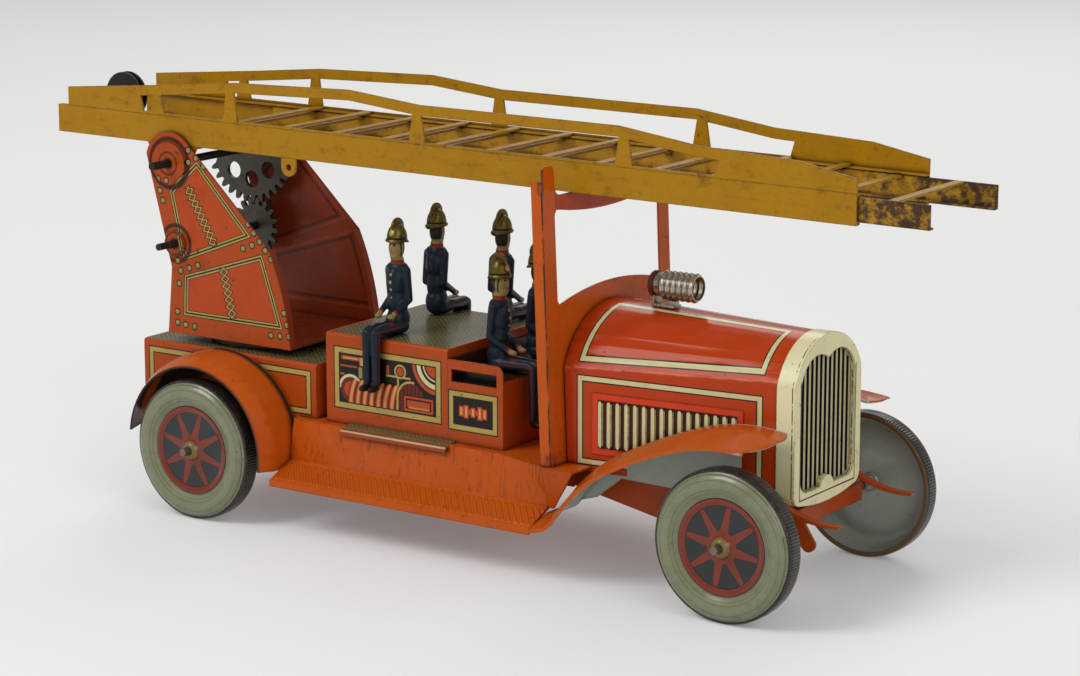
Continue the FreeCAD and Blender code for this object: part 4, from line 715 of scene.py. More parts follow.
def guard_print(coat, x, y, h):
    under = ball_gap((x, h), REAR_AXLE, 0)
    coat.fill(under - 32.9 + (abs(y) - 40) * 0.19, ink(52, 38, 28), inside(30.6 - abs(y), 0.2), 0.4)


def wing_print(coat, x, y, h):
    coat.fill(normal_part(2) + 0.12, WING_GREY, blur=0.2)
    coat.fill(abs(y) - 27.9, WING_GREY, blur=0.1)


orange_plain = enamel("orange enamel", ORANGE, gloss=0.27)
board_paint = enamel("board enamel", ORANGE, skirt_print, board_ribs, gloss=0.27)
guard_paint = enamel("mudguard enamel", ORANGE, guard_print, gloss=0.24, wear=0.7)
wing_paint = enamel("wing enamel", ORANGE, wing_print, gloss=0.24, wear=0.8)
print("orange finishes mixed, ribs every", RIB_STEP, "mm")

# %% [markdown]
# Three shapes go beyond the solids. The ledge at the front of the running boards flares outward, so it is cut
# into stations and each is moved further. A small nose closes the corner between the board and the wing: one
# edge of a plane is extruded down as a skirt, and Solidify gives it its wall. The wings' front ends droop.

# %% Orange pressings
FLARE_START, FLARE_OUT, FLARE_CUTS = 27.0, 7.0, 5
NOSE_LENGTH, NOSE_INNER, SHEET_WALL = 13.0, 30.0, 0.8
SKIRT_IN, SKIRT_DROP, SKIRT_END = 4.5, 14.7, 2.4
LEDGE_HALF, LEDGE_TOP = 34.0, board_high[2]
WING_TURN, WING_BEND = 106.0, 0.0042


def flare_ledge(piece):
    """Widens the front end of the ledge, where the windscreen's posts stand."""
    stations = [FLARE_START + (board_high[0] - FLARE_START) * n / FLARE_CUTS for n in range(FLARE_CUTS + 1)]
    for station in stations[:-1]:
        bpy.ops.mesh.select_all(action="SELECT")
        bpy.ops.mesh.bisect(plane_co=(station * MM, 0, 0), plane_no=(1, 0, 0))
    for n, station in enumerate(stations[1:], 1):
        for side in (-1, 1):
            pick(piece, lambda x, y, h: (abs(x - station) < 0.1 and y * side > LEDGE_HALF - 1.5
                                         and h > LEDGE_TOP - 1.5))
            bpy.ops.transform.translate(value=(0, side * FLARE_OUT * n / FLARE_CUTS * MM, 0))


def ledge_nose(side):
    """The bit of ledge and skirt that closes the corner between the board and the wing."""
    start, outer = board_high[0], LEDGE_HALF + FLARE_OUT
    middle = (start + NOSE_LENGTH / 2, side * (NOSE_INNER + outer) / 2, LEDGE_TOP - SHEET_WALL / 2)
    deselect()
    bpy.ops.mesh.primitive_plane_add(size=1, location=Vector(middle) * MM)
    nose = bpy.context.object
    nose.scale = (NOSE_LENGTH * MM, (outer - NOSE_INNER) * MM, 1)
    settle()
    pick(nose, lambda x, y, h: y * side > outer - 1, "EDGE")
    bpy.ops.mesh.extrude_region_move(TRANSFORM_OT_translate={"value": (0, -side * SKIRT_IN * MM, -SKIRT_DROP * MM)})
    pick(nose, lambda x, y, h: x > start + 1 and h < LEDGE_TOP - 5)
    bpy.ops.transform.translate(value=((SKIRT_END - NOSE_LENGTH) * MM, 0, 0))
    bpy.ops.mesh.select_all(action="SELECT")
    bpy.ops.mesh.normals_make_consistent(inside=False)
    apply_modifier(nose, "SOLIDIFY", thickness=SHEET_WALL * MM, offset=0)
    soften(nose, SOFT_EDGE)
    nose.name = "ledge_nose_" + ("left" if side > 0 else "right")
    finished(nose, "chassis", orange_plain)


def move_vertices(piece, change):
    """Changes the place of every vertex, with the piece in edit mode before and after."""
    bpy.ops.object.mode_set(mode="OBJECT")
    for vertex in piece.data.vertices:
        change(vertex.co)
    bpy.ops.object.mode_set(mode="EDIT")


def droop_wing(piece):
    """Bends the wings' front ends down in a gentle curve."""
    def bend(spot):
        past = max(0.0, spot.x / MM - WING_TURN)
        spot.z -= WING_BEND * past * past * MM

    move_vertices(piece, bend)


soft_copy("chassis_deck", orange_plain)
soft_copy("running_boards", board_paint, reshape=flare_ledge)
for side in (-1, 1):
    ledge_nose(side)
soft_copy("rear_mudguards", guard_paint)
soft_copy("front_wings", wing_paint, reshape=droop_wing)
soft_copy("front_frame", enamel("frame enamel", DEEP_ORANGE, gloss=0.3))
soft_copy("axle_carrier", enamel("carrier enamel", DEEP_ORANGE, gloss=0.32))
print("orange pressings done, ledge", 2 * (LEDGE_HALF + FLARE_OUT), "mm across at the windscreen")

# %% [markdown]
# The step plates repeat the diaper print, and a pale line along their outer lip is a painted highlight. It is tipped
# down a little, as a step is after years of use.

# %% Step plates
step_high = corners("step_plates")[1]
STEP_OUT, STEP_DOWN = 0.8, 1.5


def step_print(coat, x, y, h):
    half, top = step_high[1], step_high[2]
    diaper(coat, x, y, inside(abs(y) - half - 0.2, 0.1) * inside(top - 2.2 - h, 0.1), step=1.8)
    coat.fill(half + 0.3 - abs(y), ink(150, 74, 40), blur=0.1)
    # Painted highlight: a pale pinkish line along the top of the outer lip.
    coat.line(h - top + 1.6, 0.25, ink(226, 176, 140), inside(half + 0.1 - abs(y), 0.1), 0.2)


def tip_step(piece):
    for side in (-1, 1):
        pick(piece, lambda x, y, h: y * side > step_high[1] - 1.0)
        bpy.ops.transform.translate(value=(0, side * STEP_OUT * MM, -STEP_DOWN * MM))


soft_copy("step_plates", enamel("step print", ink(60, 44, 32), step_print, gloss=0.3), reshape=tip_step)
print("steps", round(step_high[1] * 2, 1), "mm across")

# %% [markdown]
# The windscreen is one sheet with a window, and its outer edges are folded back as posts. A wire is traced round
# the sheet by extruding one vertex, a second wire is traced round the window, and Fill closes the face between
# them. Corners are given for the left half, as a distance in from the edge and a height, and mirrored.

# %% Windscreen sheet
screen_low, screen_high = corners("windscreen")
SCREEN_HALF, SCREEN_POST, SCREEN_WALL, SCREEN_FOLD = 39.4, 7.0, 0.8, 4.3
SCREEN_LEAN = math.tan(math.radians(2.3))
SADDLE_REST, SADDLE_DIP, SADDLE_HALF = screen_high[2] - 5.6, 2.4, 20.8
LUG_TOP, LUG_SHOULDER = 142.0, 137.0
half_screen, window_half = SCREEN_HALF - SCREEN_WALL / 2, SCREEN_HALF - SCREEN_POST
LUG_CORNERS = [(0, screen_low[2]), (0, LUG_SHOULDER), (0, LUG_TOP - 1.8), (0.5, LUG_TOP - 0.6), (1.6, LUG_TOP),
               (5.2, LUG_TOP), (6.3, LUG_TOP - 0.6), (6.8, LUG_TOP - 1.8), (7.0, SADDLE_REST + 3.0),
               (7.7, SADDLE_REST + 1.2), (9.0, SADDLE_REST + 0.3), (10.6, SADDLE_REST)]
WINDOW_CORNERS = [(1.2, 94.1), (0.1, 95.6), (0, 124.8), (1.0, 126.6)]


def mirrored(half_outline, middle):
    """The left half of an outline, its middle, and the right half, which is read backward."""
    return half_outline + middle + [(-y, h) for y, h in reversed(half_outline)]


def draw_wire(name, points):
    """One vertex pushed from point to point by extruding. It stays in edit mode, all selected."""
    deselect()
    bpy.ops.mesh.primitive_plane_add(size=MM, location=points[0])
    piece = bpy.context.object
    piece.name = name
    settle()
    bpy.ops.object.mode_set(mode="EDIT")
    bpy.ops.mesh.select_mode(type="VERT")
    bpy.ops.mesh.select_all(action="SELECT")
    bpy.ops.mesh.merge(type="CENTER")
    for before, after in zip(points, points[1:]):
        bpy.ops.mesh.extrude_region_move(TRANSFORM_OT_translate={"value": after - before})
    bpy.ops.mesh.select_all(action="SELECT")
    return piece


def trace(name, outline):
    """A closed wire in the leaning plane of the sheet."""
    front = screen_high[0] - SCREEN_WALL / 2
    spots = [Vector((front - (h - screen_low[2]) * SCREEN_LEAN, y, h)) * MM for y, h in outline]
    piece = draw_wire(name, spots + spots[:1])
    bpy.ops.mesh.remove_doubles(threshold=0.01 * MM)
    bpy.ops.object.mode_set(mode="OBJECT")
    return piece


saddle = [(SADDLE_HALF * n / 8, SADDLE_REST - SADDLE_DIP * (1 - (n / 8) ** 2)) for n in range(8, -9, -1)]
edge = mirrored([(half_screen - inward, h) for inward, h in LUG_CORNERS], saddle)
sill = [(window_half * n / 10, 97.9 - 4.2 * (n / 10) ** 2) for n in range(-9, 10)]
head = [(window_half * n / 10, 123.8 + 3.2 * (n / 10) ** 2) for n in range(9, -10, -1)]
window = sill + mirrored([(window_half - inward, h) for inward, h in WINDOW_CORNERS], head)
sheet = trace("windscreen_sheet", edge)
activate(sheet, trace("window_wire", window))
bpy.ops.object.join()
bpy.ops.object.mode_set(mode="EDIT")
bpy.ops.mesh.select_all(action="SELECT")
bpy.ops.mesh.fill(use_beauty=True)
print("windscreen face has", len(edge) + len(window), "corners")

# %% [markdown]
# The sheet's outer edges are extruded backward as the folded posts, and Solidify gives the sheet its wall. Its
# paint is rubbed through to rust along the folds and at the feet, and darker on the bar over the window.

# %% Windscreen folds, wall and paint
for side in (-1, 1):
    pick(sheet, lambda x, y, h: y * side > half_screen - 0.05 and h < LUG_SHOULDER + 0.1, "EDGE")
    bpy.ops.mesh.extrude_region_move(TRANSFORM_OT_translate={"value": (-SCREEN_FOLD * MM, 0, 0)})
bpy.ops.mesh.select_all(action="SELECT")
bpy.ops.mesh.normals_make_consistent(inside=False)
apply_modifier(sheet, "SOLIDIFY", thickness=SCREEN_WALL * MM, offset=0)
soften(sheet, 0.16)


def screen_print(coat, x, y, h):
    behind = x + (h - screen_low[2]) * SCREEN_LEAN - screen_high[0]
    worn = mottle(3.2, 5, 0.75, (1, 1, 0.25))
    fold = inside(SCREEN_HALF - 0.3 - abs(y), 0.1) * step_up(worn, 0.38, 0.50)
    coat.line(behind + 0.5, 0.34, ink(46, 30, 22), fold, 0.3)
    rub = inside(LUG_TOP - 9.5 - h, 1.5) * inside(SCREEN_HALF - 0.9 - abs(y), 0.3) * step_up(worn, 0.34, 0.48)
    coat.line(behind + 1.0, 1.1, DARK_TIN, rub, 0.6)
    coat.fill(124.6 - h, ink(150, 44, 20), inside(abs(y) - window_half, 1.0) * 0.6, 0.5)
    foot = inside(window_half - abs(y), 0.5) * step_up(worn, 0.46, 0.58) * 0.7
    coat.fill(h - screen_low[2] - 4.5 + (worn - 0.5) * 6, ink(60, 34, 20), foot, 0.6)


screen_paint = enamel("windscreen enamel", ORANGE, screen_print, gloss=0.27)
finished(sheet, "chassis", screen_paint, ["windscreen"])
print("windscreen", 2 * SCREEN_HALF, "mm wide")

# %% [markdown]
# The bonnet is redder. Its top has a lined panel on each side of the ridge, whose edges follow the taper: the
# distance across is measured as a share of the bonnet's half width at that place. Its side has one frame, and
# the louvres are cream slats in a brighter red panel. Both are widened toward the windscreen.

# %% Bonnet
bonnet_low, bonnet_high = corners("bonnet")
BONNET_LENGTH = bonnet_high[0] - bonnet_low[0]
REAR_HALF, FRONT_HALF, REAR_SPREAD = 30.6, 21.8, 0.15
PANEL_REAR, PANEL_FRONT = bonnet_low[0] + 6.0, bonnet_high[0] - 5.4
CREASE, CREASE_REAR, CREASE_RISE = 74.2, 72.6, 3.0
louvre_low, louvre_high = corners("bonnet_louvres")
SLATS, SLAT_STEP = 16, 3.3
SLAT_TAPER = 0.998


def bonnet_print(coat, x, y, h):
    half = (x - bonnet_low[0]) * ((FRONT_HALF - REAR_HALF) / BONNET_LENGTH) + REAR_HALF
    share = abs(y) / half
    crease = (x - bonnet_low[0]) * (CREASE_RISE / BONNET_LENGTH) + CREASE_REAR
    top_panel = most((0.13 - share) * 22.0, crease + 2.2 - h, PANEL_REAR - x, x - PANEL_FRONT)
    frame_line(coat, top_panel + 0.9, inside(CREASE - 0.6 - h, 0.3), CREAM, 0.8)
    # Painted highlight: a broken pale line along the crease between the bonnet's top and side.
    coat.line(crease - h, 0.35, ink(214, 122, 92), step_up(mottle(7, 4), 0.4, 0.6) * 0.5, 0.5)
    side_panel = rect_gap(x, h, PANEL_REAR, PANEL_FRONT, 39.6, 70.4)
    frame_line(coat, side_panel + 0.9, inside(h - CREASE + 1.2, 0.3), CREAM, 0.8)


def spread_rear(piece):
    """Widens the bonnet toward the windscreen."""
    def widen(spot):
        spot.y *= 1 + REAR_SPREAD * (1 - (spot.x / MM - bonnet_low[0]) / BONNET_LENGTH)

    move_vertices(piece, widen)


def louvre_print(coat, x, y, h):
    along = (x - louvre_low[0] - 2.4) / SLAT_TAPER
    middle_h, half_h = span(louvre_low[2], louvre_high[2])
    half_row = SLAT_STEP * SLATS / 2
    field = box_gap(along, h, half_row - 0.8, middle_h, half_row - 0.6, half_h - 2.2)
    coat.fill(field, ink(74, 26, 16))
    beside = abs(remainder(along + SLAT_STEP / 2 - 0.85, SLAT_STEP) - SLAT_STEP / 2)
    above = most(abs(h - middle_h) - half_h + 3.6, 0)
    slat = ball_gap((beside, above), (0, 0), 0)
    coat.fill(slat - 1.25, PRINT_BLACK, inside(field - 0.2))
    coat.fill(slat - 0.98, CREAM, inside(field))


soft_copy("bonnet", enamel("bonnet print", BONNET_RED, bonnet_print, gloss=0.2, wear=0.7), reshape=spread_rear)
louvre_paint = enamel("louvre print", ink(208, 62, 26), louvre_print, gloss=0.22, wear=0.6)
soft_copy("bonnet_louvres", louvre_paint, soft=0.08, reshape=spread_rear)
print("bonnet", round(BONNET_LENGTH, 1), "mm long with", SLATS, "slats")

# %% [markdown]
# The radiator is a cream shell with a thin black line round the lower part of its opening. The plate inside is
# striped cream and near-black, one cream rib for each raised rib of the solid. Both are a little lower than the
# solids, so that the shell's top is level with the bonnet.

# %% Radiator
shell_low, shell_high = corners("radiator_shell")
GRILLE_STEP, GRILLE_START = 3.0, 18.75
RADIATOR_SHARE, RADIATOR_STILL = 0.917, 58.6


def shell_print(coat, x, y, h):
    front = inside(shell_high[0] - 0.5 - x, 0.1)
    coat.line(box_gap(y, h, 0.0, 60.0, 18.6, 24.3), 0.25, PRINT_BLACK, front * inside(h - 76.0, 0.5))
    coat.line(x - shell_high[0] + 1.1, 0.22, ink(96, 84, 52), step_up(mottle(3, 5), 0.42, 0.5))


def grille_print(coat, x, y, h):
    rib = remainder(y + GRILLE_START + GRILLE_STEP * 4, GRILLE_STEP)
    coat.fill(rib - 0.55, CREAM)
    coat.fill(rib - 0.12, ink(110, 100, 76))


def shorten(piece):
    """Brings the radiator's top level with the bonnet."""
    bpy.ops.mesh.select_all(action="SELECT")
    bpy.ops.transform.resize(value=(1, 1, RADIATOR_SHARE), center_override=(0, 0, RADIATOR_STILL * MM))


cream_paint = enamel("radiator cream", ink(226, 218, 172), shell_print, gloss=0.24, wear=0.8, under=ink(74, 60, 40))
soft_copy("radiator_shell", cream_paint, reshape=shorten)
grille_paint = enamel("grille print", ink(38, 38, 38), grille_print, gloss=0.3, wear=0.5)
soft_copy("radiator_grille", grille_paint, soft=0.06, reshape=shorten)
print("radiator", round((shell_high[2] - shell_low[2]) * RADIATOR_SHARE, 1), "mm high")

# %% [markdown]
# The tower's cheeks are printed like girder work: two lined panels with a band between them, rows of small
# olive rivets, a twisted strip in each panel and dark rings round the two bosses. Rows of rivets are given by
# their first and last rivet. The inner faces are a dull brown red.

# %% Tower
tower_low, tower_high = corners("tower")
CHEEK_HALF, RIVET_RADIUS = 27.0, 0.95
PANELS = [[(-126.8, 116.0), (-120.6, 90.6), (-88.7, 102.6), (-113.6, 128.0)],
          [(-121.2, 69.8), (-74.4, 69.8), (-83.4, 96.2), (-120.4, 84.6)]]
RIVET_ROWS = [((-117.5, 132.0), (-110.4, 126.6), 3), ((-117.6, 127.5), (-117.6, 127.5), 1),
              ((-131.7, 120.2), (-127.7, 119.9), 2), ((-131.8, 115.7), (-130.4, 112.1), 2),
              ((-89.5, 107.1), (-79.0, 95.2), 5), ((-92.1, 97.9), (-87.8, 99.5), 2),
              ((-123.8, 90.1), (-123.8, 90.1), 1), ((-122.5, 86.4), (-114.1, 89.2), 3),
              ((-123.4, 81.4), (-123.4, 81.4), 1), ((-124.6, 70.6), (-124.6, 66.4), 2),
              ((-120.7, 66.0), (-116.3, 65.8), 2), ((-73.4, 75.8), (-72.1, 71.5), 2),
              ((-79.7, 66.8), (-71.2, 67.3), 3)]
TWIST_STEP, TWIST_SLOPE = 5.2, 7.2 / 5.2
TWISTS = [((-118.4, 118.5), (-105.6, 97.3)), ((-101.9, 90.0), (-97.7, 70.9))]
BOSSES = [((-126.7, 126.4), 9.2), ((-124.4, 96.5), 6.8)]


def rivets(u, v):
    spots = []
    for first, last, count in RIVET_ROWS:
        for n in range(count):
            share = n / max(1, count - 1)
            spots.append((first[0] + (last[0] - first[0]) * share, first[1] + (last[1] - first[1]) * share))
    return least(*[ball_gap((u, v), spot, RIVET_RADIUS) for spot in spots])


def twist_print(coat, x, h, start, end, side):
    """Two strands that cross each other along a line."""
    du, dv = end[0] - start[0], end[1] - start[1]
    size = math.hypot(du, dv)
    along = (x - start[0]) * (du / size) + (h - start[1]) * (dv / size)
    across = edge_gap(x, h, start, end)
    ends = most(0 - along, along - size)
    wave = (remainder(along + 50, TWIST_STEP) - TWIST_STEP / 4) * TWIST_SLOPE
    strands = least(abs(across - wave), abs(across + wave))
    coat.fill(strands - 1.0, PRINT_BLACK, inside(ends) * side)
    coat.fill(strands - 0.40, GOLD_LINE, inside(ends + 0.3) * side, 0.2)


def tower_print(coat, x, y, h):
    side = on_side(y, CHEEK_HALF, 0.35)
    panels = [polygon_gap(x, h, spots) for spots in PANELS]
    for panel in panels:
        coat.fill(panel + 0.2, ink(196, 70, 30), side * 0.35)
        coat.line(panel + 0.7, 1.15, PRINT_BLACK, side)
        coat.line(panel + 0.15, 0.28, GOLD_LINE, side)
        coat.line(panel + 1.3, 0.28, GOLD_LINE, side)
    for start, end in TWISTS:
        twist_print(coat, x, h, start, end, side)
    for middle, reach in BOSSES:
        ring = ball_gap((x, h), middle, 0)
        coat.line(ring - reach, 0.8, ink(44, 20, 14), side * 0.9, 0.7)
        coat.line(ring - 4.2, 0.4, ink(60, 26, 18), side * 0.8, 0.4)
        coat.fill(ring - 2.2, ink(44, 34, 26), side * 0.8, 0.4)
    gap = rivets(x, h)
    coat.fill(gap - 0.45, PRINT_BLACK, side, 0.2)
    coat.fill(gap, OLIVE, side, 0.2)
    within = inside(abs(y) - CHEEK_HALF + 0.4, 0.1)
    coat.lay(within * 0.75, ink(118, 42, 22))
    for panel in panels:
        coat.line(panel + 0.6, 0.5, ink(52, 20, 12), within * 0.7, 0.5)
        coat.line(panel - 1.2, 0.4, ink(186, 84, 50), within * 0.35, 0.5)


def tower_relief(x, y, h):
    return inside(rivets(x, h), 1.0) * on_side(y, CHEEK_HALF, 0.35) * 0.25


soft_copy("tower", enamel("tower print", DEEP_ORANGE, tower_print, tower_relief, gloss=0.28))
soft_copy("turntable_plate", enamel("turntable steel", ink(92, 84, 74), gloss=0.42, metal=0.5, under=RUST))
print("tower", round(tower_high[2] - tower_low[2], 1), "mm high,", sum(row[2] for row in RIVET_ROWS), "rivets a side")

# %% [markdown]
# Bare steel and blackened parts: gears, arbors, bearers, motor, axles and the pins. They share three finishes,
# because on the real toy they come from the same stock. The ladder is ochre enamel, rubbed dark along its edges
# and rungs, with long scratches: the noise is stretched along it. Its sliding part is more worn, and its tip has
# gone brown.

# %% Bare metal parts and ladder
TIP_START = 150.0


def ladder_print(coat, x, y, h):
    streak, blot = mottle(2.4, 6, 0.75, (0.22, 1, 1)), mottle(9, 5, 0.7)
    coat.lay(step_up(streak, 0.56, 0.72) * 0.5, ink(104, 72, 22))
    coat.lay(step_up(blot, 0.60, 0.74) * 0.55, ink(92, 62, 24))
    coat.lay(step_up(streak * 0.6 + blot * 0.4, 0.66, 0.70) * 0.8, ink(58, 46, 34))


def tip_print(coat, x, y, h):
    ladder_print(coat, x, y, h)
    near_tip = step_up(x, TIP_START - 30, TIP_START + 20)
    coat.lay(step_up(mottle(6, 6, 0.75) + near_tip * 0.16, 0.56, 0.68), ink(70, 52, 34))


gear_steel = enamel("gear steel", ink(84, 82, 76), gloss=0.45, metal=0.6, under=RUST, dirt=0.6)
axle_steel = enamel("axle steel", ink(128, 120, 104), gloss=0.36, metal=0.8, under=RUST, dirt=0.5)
black_metal = enamel("blackened metal", ink(44, 42, 40), gloss=0.42, metal=0.3, under=ink(96, 90, 80))
ladder_paint = enamel("ladder ochre", OCHRE, ladder_print, gloss=0.36, wear=1.2, dirt=0.5)
tip_paint = enamel("sliding ladder ochre", ink(176, 130, 28), tip_print, gloss=0.4, wear=1.4, dirt=0.6)
rung_paint = enamel("rung ochre", ink(170, 126, 34), ladder_print, gloss=0.38, wear=1.4, dirt=0.6)
FINISHES = [(gear_steel, 0.06, "elevation_sector crank_pinion"), (black_metal, 0.2, "crank_shaft ladder_pivot"),
            (axle_steel, 0.15, "rear_axle front_axle turntable_pin swivel_pin rear_axle_bearers clockwork"),
            (black_metal, SOFT_EDGE, "cord_reel"),
            (ladder_paint, SOFT_EDGE, "ladder_rails ladder_railings ladder_cradle ladder_eye reel_bracket"),
            (rung_paint, SOFT_EDGE, "ladder_rungs inner_rungs"), (tip_paint, SOFT_EDGE, "inner_rails")]
for paint, soft, names in FINISHES:
    for node in names.split():
        soft_copy(node, paint, soft)
print("bare metal parts and ladder done,", sum(len(row[2].split()) for row in FINISHES), "pieces")

# %% [markdown]
# A wheel is a pressed pan with a domed tyre wall, a bead, a slightly dished face and a brass hub. It is turned:
# one vertex is pushed along the section by extruding, and the section is spun round the axle. The same tool
# turns the lamp socket and the helmets later.

# %% A lathe
LATHE_MERGE, LATHE_ANGLE = 0.004, math.radians(38)


def turn_on_axle(name, section, centre, axis, steps=96):
    """Spins a section of (radius, along) steps in millimetres round an axle through centre."""
    along, centre = Vector(axis), Vector(centre)
    outward = Vector((1, 0, 0)) if abs(along.z) > 0.5 else Vector((0, 0, 1))
    piece = draw_wire(name, [(centre + outward * radius + along * shift) * MM for radius, shift in section])
    bpy.ops.mesh.spin(steps=steps, angle=2 * math.pi, center=centre * MM, axis=axis)
    bpy.ops.mesh.select_all(action="SELECT")
    bpy.ops.mesh.remove_doubles(threshold=LATHE_MERGE * MM)
    bpy.ops.mesh.normals_make_consistent(inside=False)
    bpy.ops.object.mode_set(mode="OBJECT")
    bpy.ops.object.shade_smooth_by_angle(angle=LATHE_ANGLE)
    return piece


print("lathe ready")

# %% [markdown]
# The wheel's print: grey-green tyre wall with thin dark circles, a red ring, eight red spokes on black that
# widen toward the hub, and a red hub plate. Distances are taken from the wheel's own centre, and the spokes
# come from the angle round it. Fine ribs run across the tread.

# %% Wheels
WHEEL_RADIUS, WHEEL_MID = 26.0, 48.0
RING_OUTER, RING_INNER, HUB_PLATE = 16.2, 13.7, 5.6
SPOKES, SPOKE_HALF, SPOKE_TAPER = 8, 0.85, 0.09
INK_EDGE = 0.35
TREAD_RIBS = 150
TYRE_OUTSIDE = [(1.6, 4.9), (2.3, 4.9), (2.9, 4.5), (3.3, 3.8), (3.9, 3.1), (6.0, 2.7), (13.6, 2.45), (14.4, 2.6),
                (15.0, 3.1), (15.8, 3.25), (16.5, 2.95), (16.9, 2.85), (17.6, 3.2), (18.8, 3.95), (20.4, 4.55),
                (22.0, 4.65), (23.4, 4.2), (24.4, 3.3), (24.9, 2.6), (25.2, 2.5), (25.7, 2.4), (25.95, 1.8),
                (26.0, 0.4), (26.0, -2.4), (25.9, -3.6), (25.4, -4.2), (24.6, -4.3), (24.2, -4.2), (24.0, -3.6)]
PAN_INSIDE = [(24.0, 2.0), (23.0, 3.3), (21.6, 3.9), (19.6, 3.7), (17.4, 2.4), (13.4, 1.7), (6.0, 1.9), (3.2, 2.2),
              (2.6, 1.6), (2.6, -4.3), (1.6, -4.3), (1.6, 4.9)]
front_x = span(*[corner[0] for corner in corners("front_tread_right")])[0]
rear_x = span(*[corner[0] for corner in corners("rear_treads")])[0]
REAR_PARTS = ("rear_wheels", "rear_treads")
WHEELS = [("front_right", -1, front_x, "right_front_wheel", ("front_wheel_right", "front_tread_right"), 0.18),
          ("front_left", 1, front_x, "left_front_wheel", ("front_wheel_left", "front_tread_left"), 0.5),
          ("rear_right", -1, rear_x, "rear_axle_set", REAR_PARTS, 0.30),
          ("rear_left", 1, rear_x, "rear_axle_set", REAR_PARTS, 0.0)]


def wheel_print(centre, turn):
    def picture(coat, x, y, h):
        u, v = x - centre[0], h - centre[2]
        side = 1 if centre[1] > 0 else -1
        radius = ball_gap((u, v), (0, 0), 0)
        outward = abs(y) - WHEEL_MID
        face = inside(0.2 - outward, 0.3) * inside(normal_part(1) * (-side) + 0.02, 0.1)
        coat.lay(step_up(mottle(4.0, 5, 0.7), 0.45, 0.75) * 0.35, ink(84, 84, 60))
        for level in (18.2, 19.4, 22.6):
            coat.line(radius - level, 0.12, ink(70, 70, 52), face * 0.5, 0.2)
        coat.fill(24.9 - radius, TREAD_BLACK, blur=0.15)
        rusty = step_up(mottle(3.0, 6, 0.75), 0.5, 0.66)
        coat.fill(24.6 - radius, ink(84, 60, 40), rusty * 0.6, 0.3)
        for reach, colour in ((RING_OUTER, SPOKE_RED), (RING_INNER, ink(34, 40, 40))):
            coat.fill(radius - reach - INK_EDGE, PRINT_BLACK, face)
            coat.fill(radius - reach, colour, face)
        pitch = 2 * math.pi / SPOKES
        angle = maths("ARCTAN2", v, u) + turn
        slant = abs(remainder(angle + 20 * pitch, pitch)) * radius - SPOKE_HALF - (RING_INNER - radius) * SPOKE_TAPER
        on_ring = inside(radius - RING_INNER) * face
        coat.fill(slant - INK_EDGE, PRINT_BLACK, on_ring)
        coat.fill(slant, SPOKE_RED, on_ring)
        coat.fill(radius - HUB_PLATE, SPOKE_RED, face)
        coat.fill(radius - 3.5, ink(126, 106, 58), face, 0.1)
        coat.line(radius - 24.3, 0.14, ink(70, 68, 54), face * 0.7)
        coat.fill(radius - 24.9, PAN_GREY, 1 - face)
        coat.fill(outward + 3.7, ink(96, 70, 40), inside(24.0 - radius), 0.3)

    return picture


def tread_relief(centre):
    def relief(x, y, h):
        angle = maths("ARCTAN2", h - centre[2], x - centre[0])
        ribs = remainder(angle + 10, 2 * math.pi / TREAD_RIBS)
        on_tread = inside(0 - ball_gap((x, h), (centre[0], centre[2]), 25.2), 0.2)
        return inside(ribs - 0.008, 0.01) * on_tread * 0.12

    return relief


for word, side, at, body, replaced, turn in WHEELS:
    centre = (at, side * WHEEL_MID, WHEEL_RADIUS)
    section = [(radius, side * shift) for radius, shift in TYRE_OUTSIDE + PAN_INSIDE]
    wheel = turn_on_axle("wheel_" + word, section, centre, (0, 1, 0))
    paint = enamel("wheel print " + word, TYRE_GREY, wheel_print(centre, turn), tread_relief(centre), gloss=0.2,
                   wear=0.9, sheen_level=0.45)
    finished(wheel, body, paint, replaced)
print(len(WHEELS), "wheels turned,", SPOKES, "spokes each")

# %% [markdown]
# The lamp socket is a rolled nickel shell. The lathe turns its round thread, and a red washer and a small
# contact close its back.

# %% Lamp socket
socket_low, socket_high = corners("lamp_socket")
LAMP_HEIGHT, LAMP_RADIUS = span(socket_low[2], socket_high[2])
LAMP_PITCH, LAMP_TURNS, LAMP_GROOVE, LAMP_WALL = 2.3, 6, 0.75, 0.35
nickel = enamel("nickel", ink(176, 168, 152), gloss=0.26, metal=0.9, under=ink(90, 70, 48), dirt=0.5, chips=0.1)
washer_red = enamel("red fibre washer", ink(92, 38, 26), gloss=0.5)

thread_start = socket_high[0] - socket_low[0] - LAMP_PITCH * LAMP_TURNS
thread = []
for n in range(LAMP_TURNS * 6 + 1):
    wave = 0.5 - 0.5 * math.cos(2 * math.pi * n / 6)
    thread.append((LAMP_RADIUS - LAMP_GROOVE + LAMP_GROOVE * wave, thread_start + LAMP_PITCH * n / 6))
lining = [(radius - LAMP_WALL, along) for radius, along in reversed(thread)]
LAMP_PARTS = {
    "lamp_shell": ([(0.01, 2.9), (3.9, 2.9)] + thread + lining + [(3.5, 3.3), (0.01, 3.3)], 64, nickel,
                   ["lamp_socket"]),
    "lamp_washer": ([(0.01, 1.2), (4.3, 1.2), (4.6, 1.6), (4.6, 2.4), (4.2, 2.9), (0.01, 2.9)], 48, washer_red, ()),
    "lamp_contact": ([(0.01, 0.0), (0.8, 0.0), (1.15, 0.3), (1.15, 1.3), (0.01, 1.3)], 24, nickel, ())}
for name, (section, steps, paint, replaced) in LAMP_PARTS.items():
    placed = [(radius, socket_low[0] + along) for radius, along in section]
    part = turn_on_axle(name, placed, (0, 0, LAMP_HEIGHT), (1, 0, 0), steps)
    finished(part, "chassis", paint, replaced)
soft_copy("lamp_bracket", nickel)
print("lamp socket", round(2 * LAMP_RADIUS, 2), "mm across,", LAMP_TURNS, "turns")

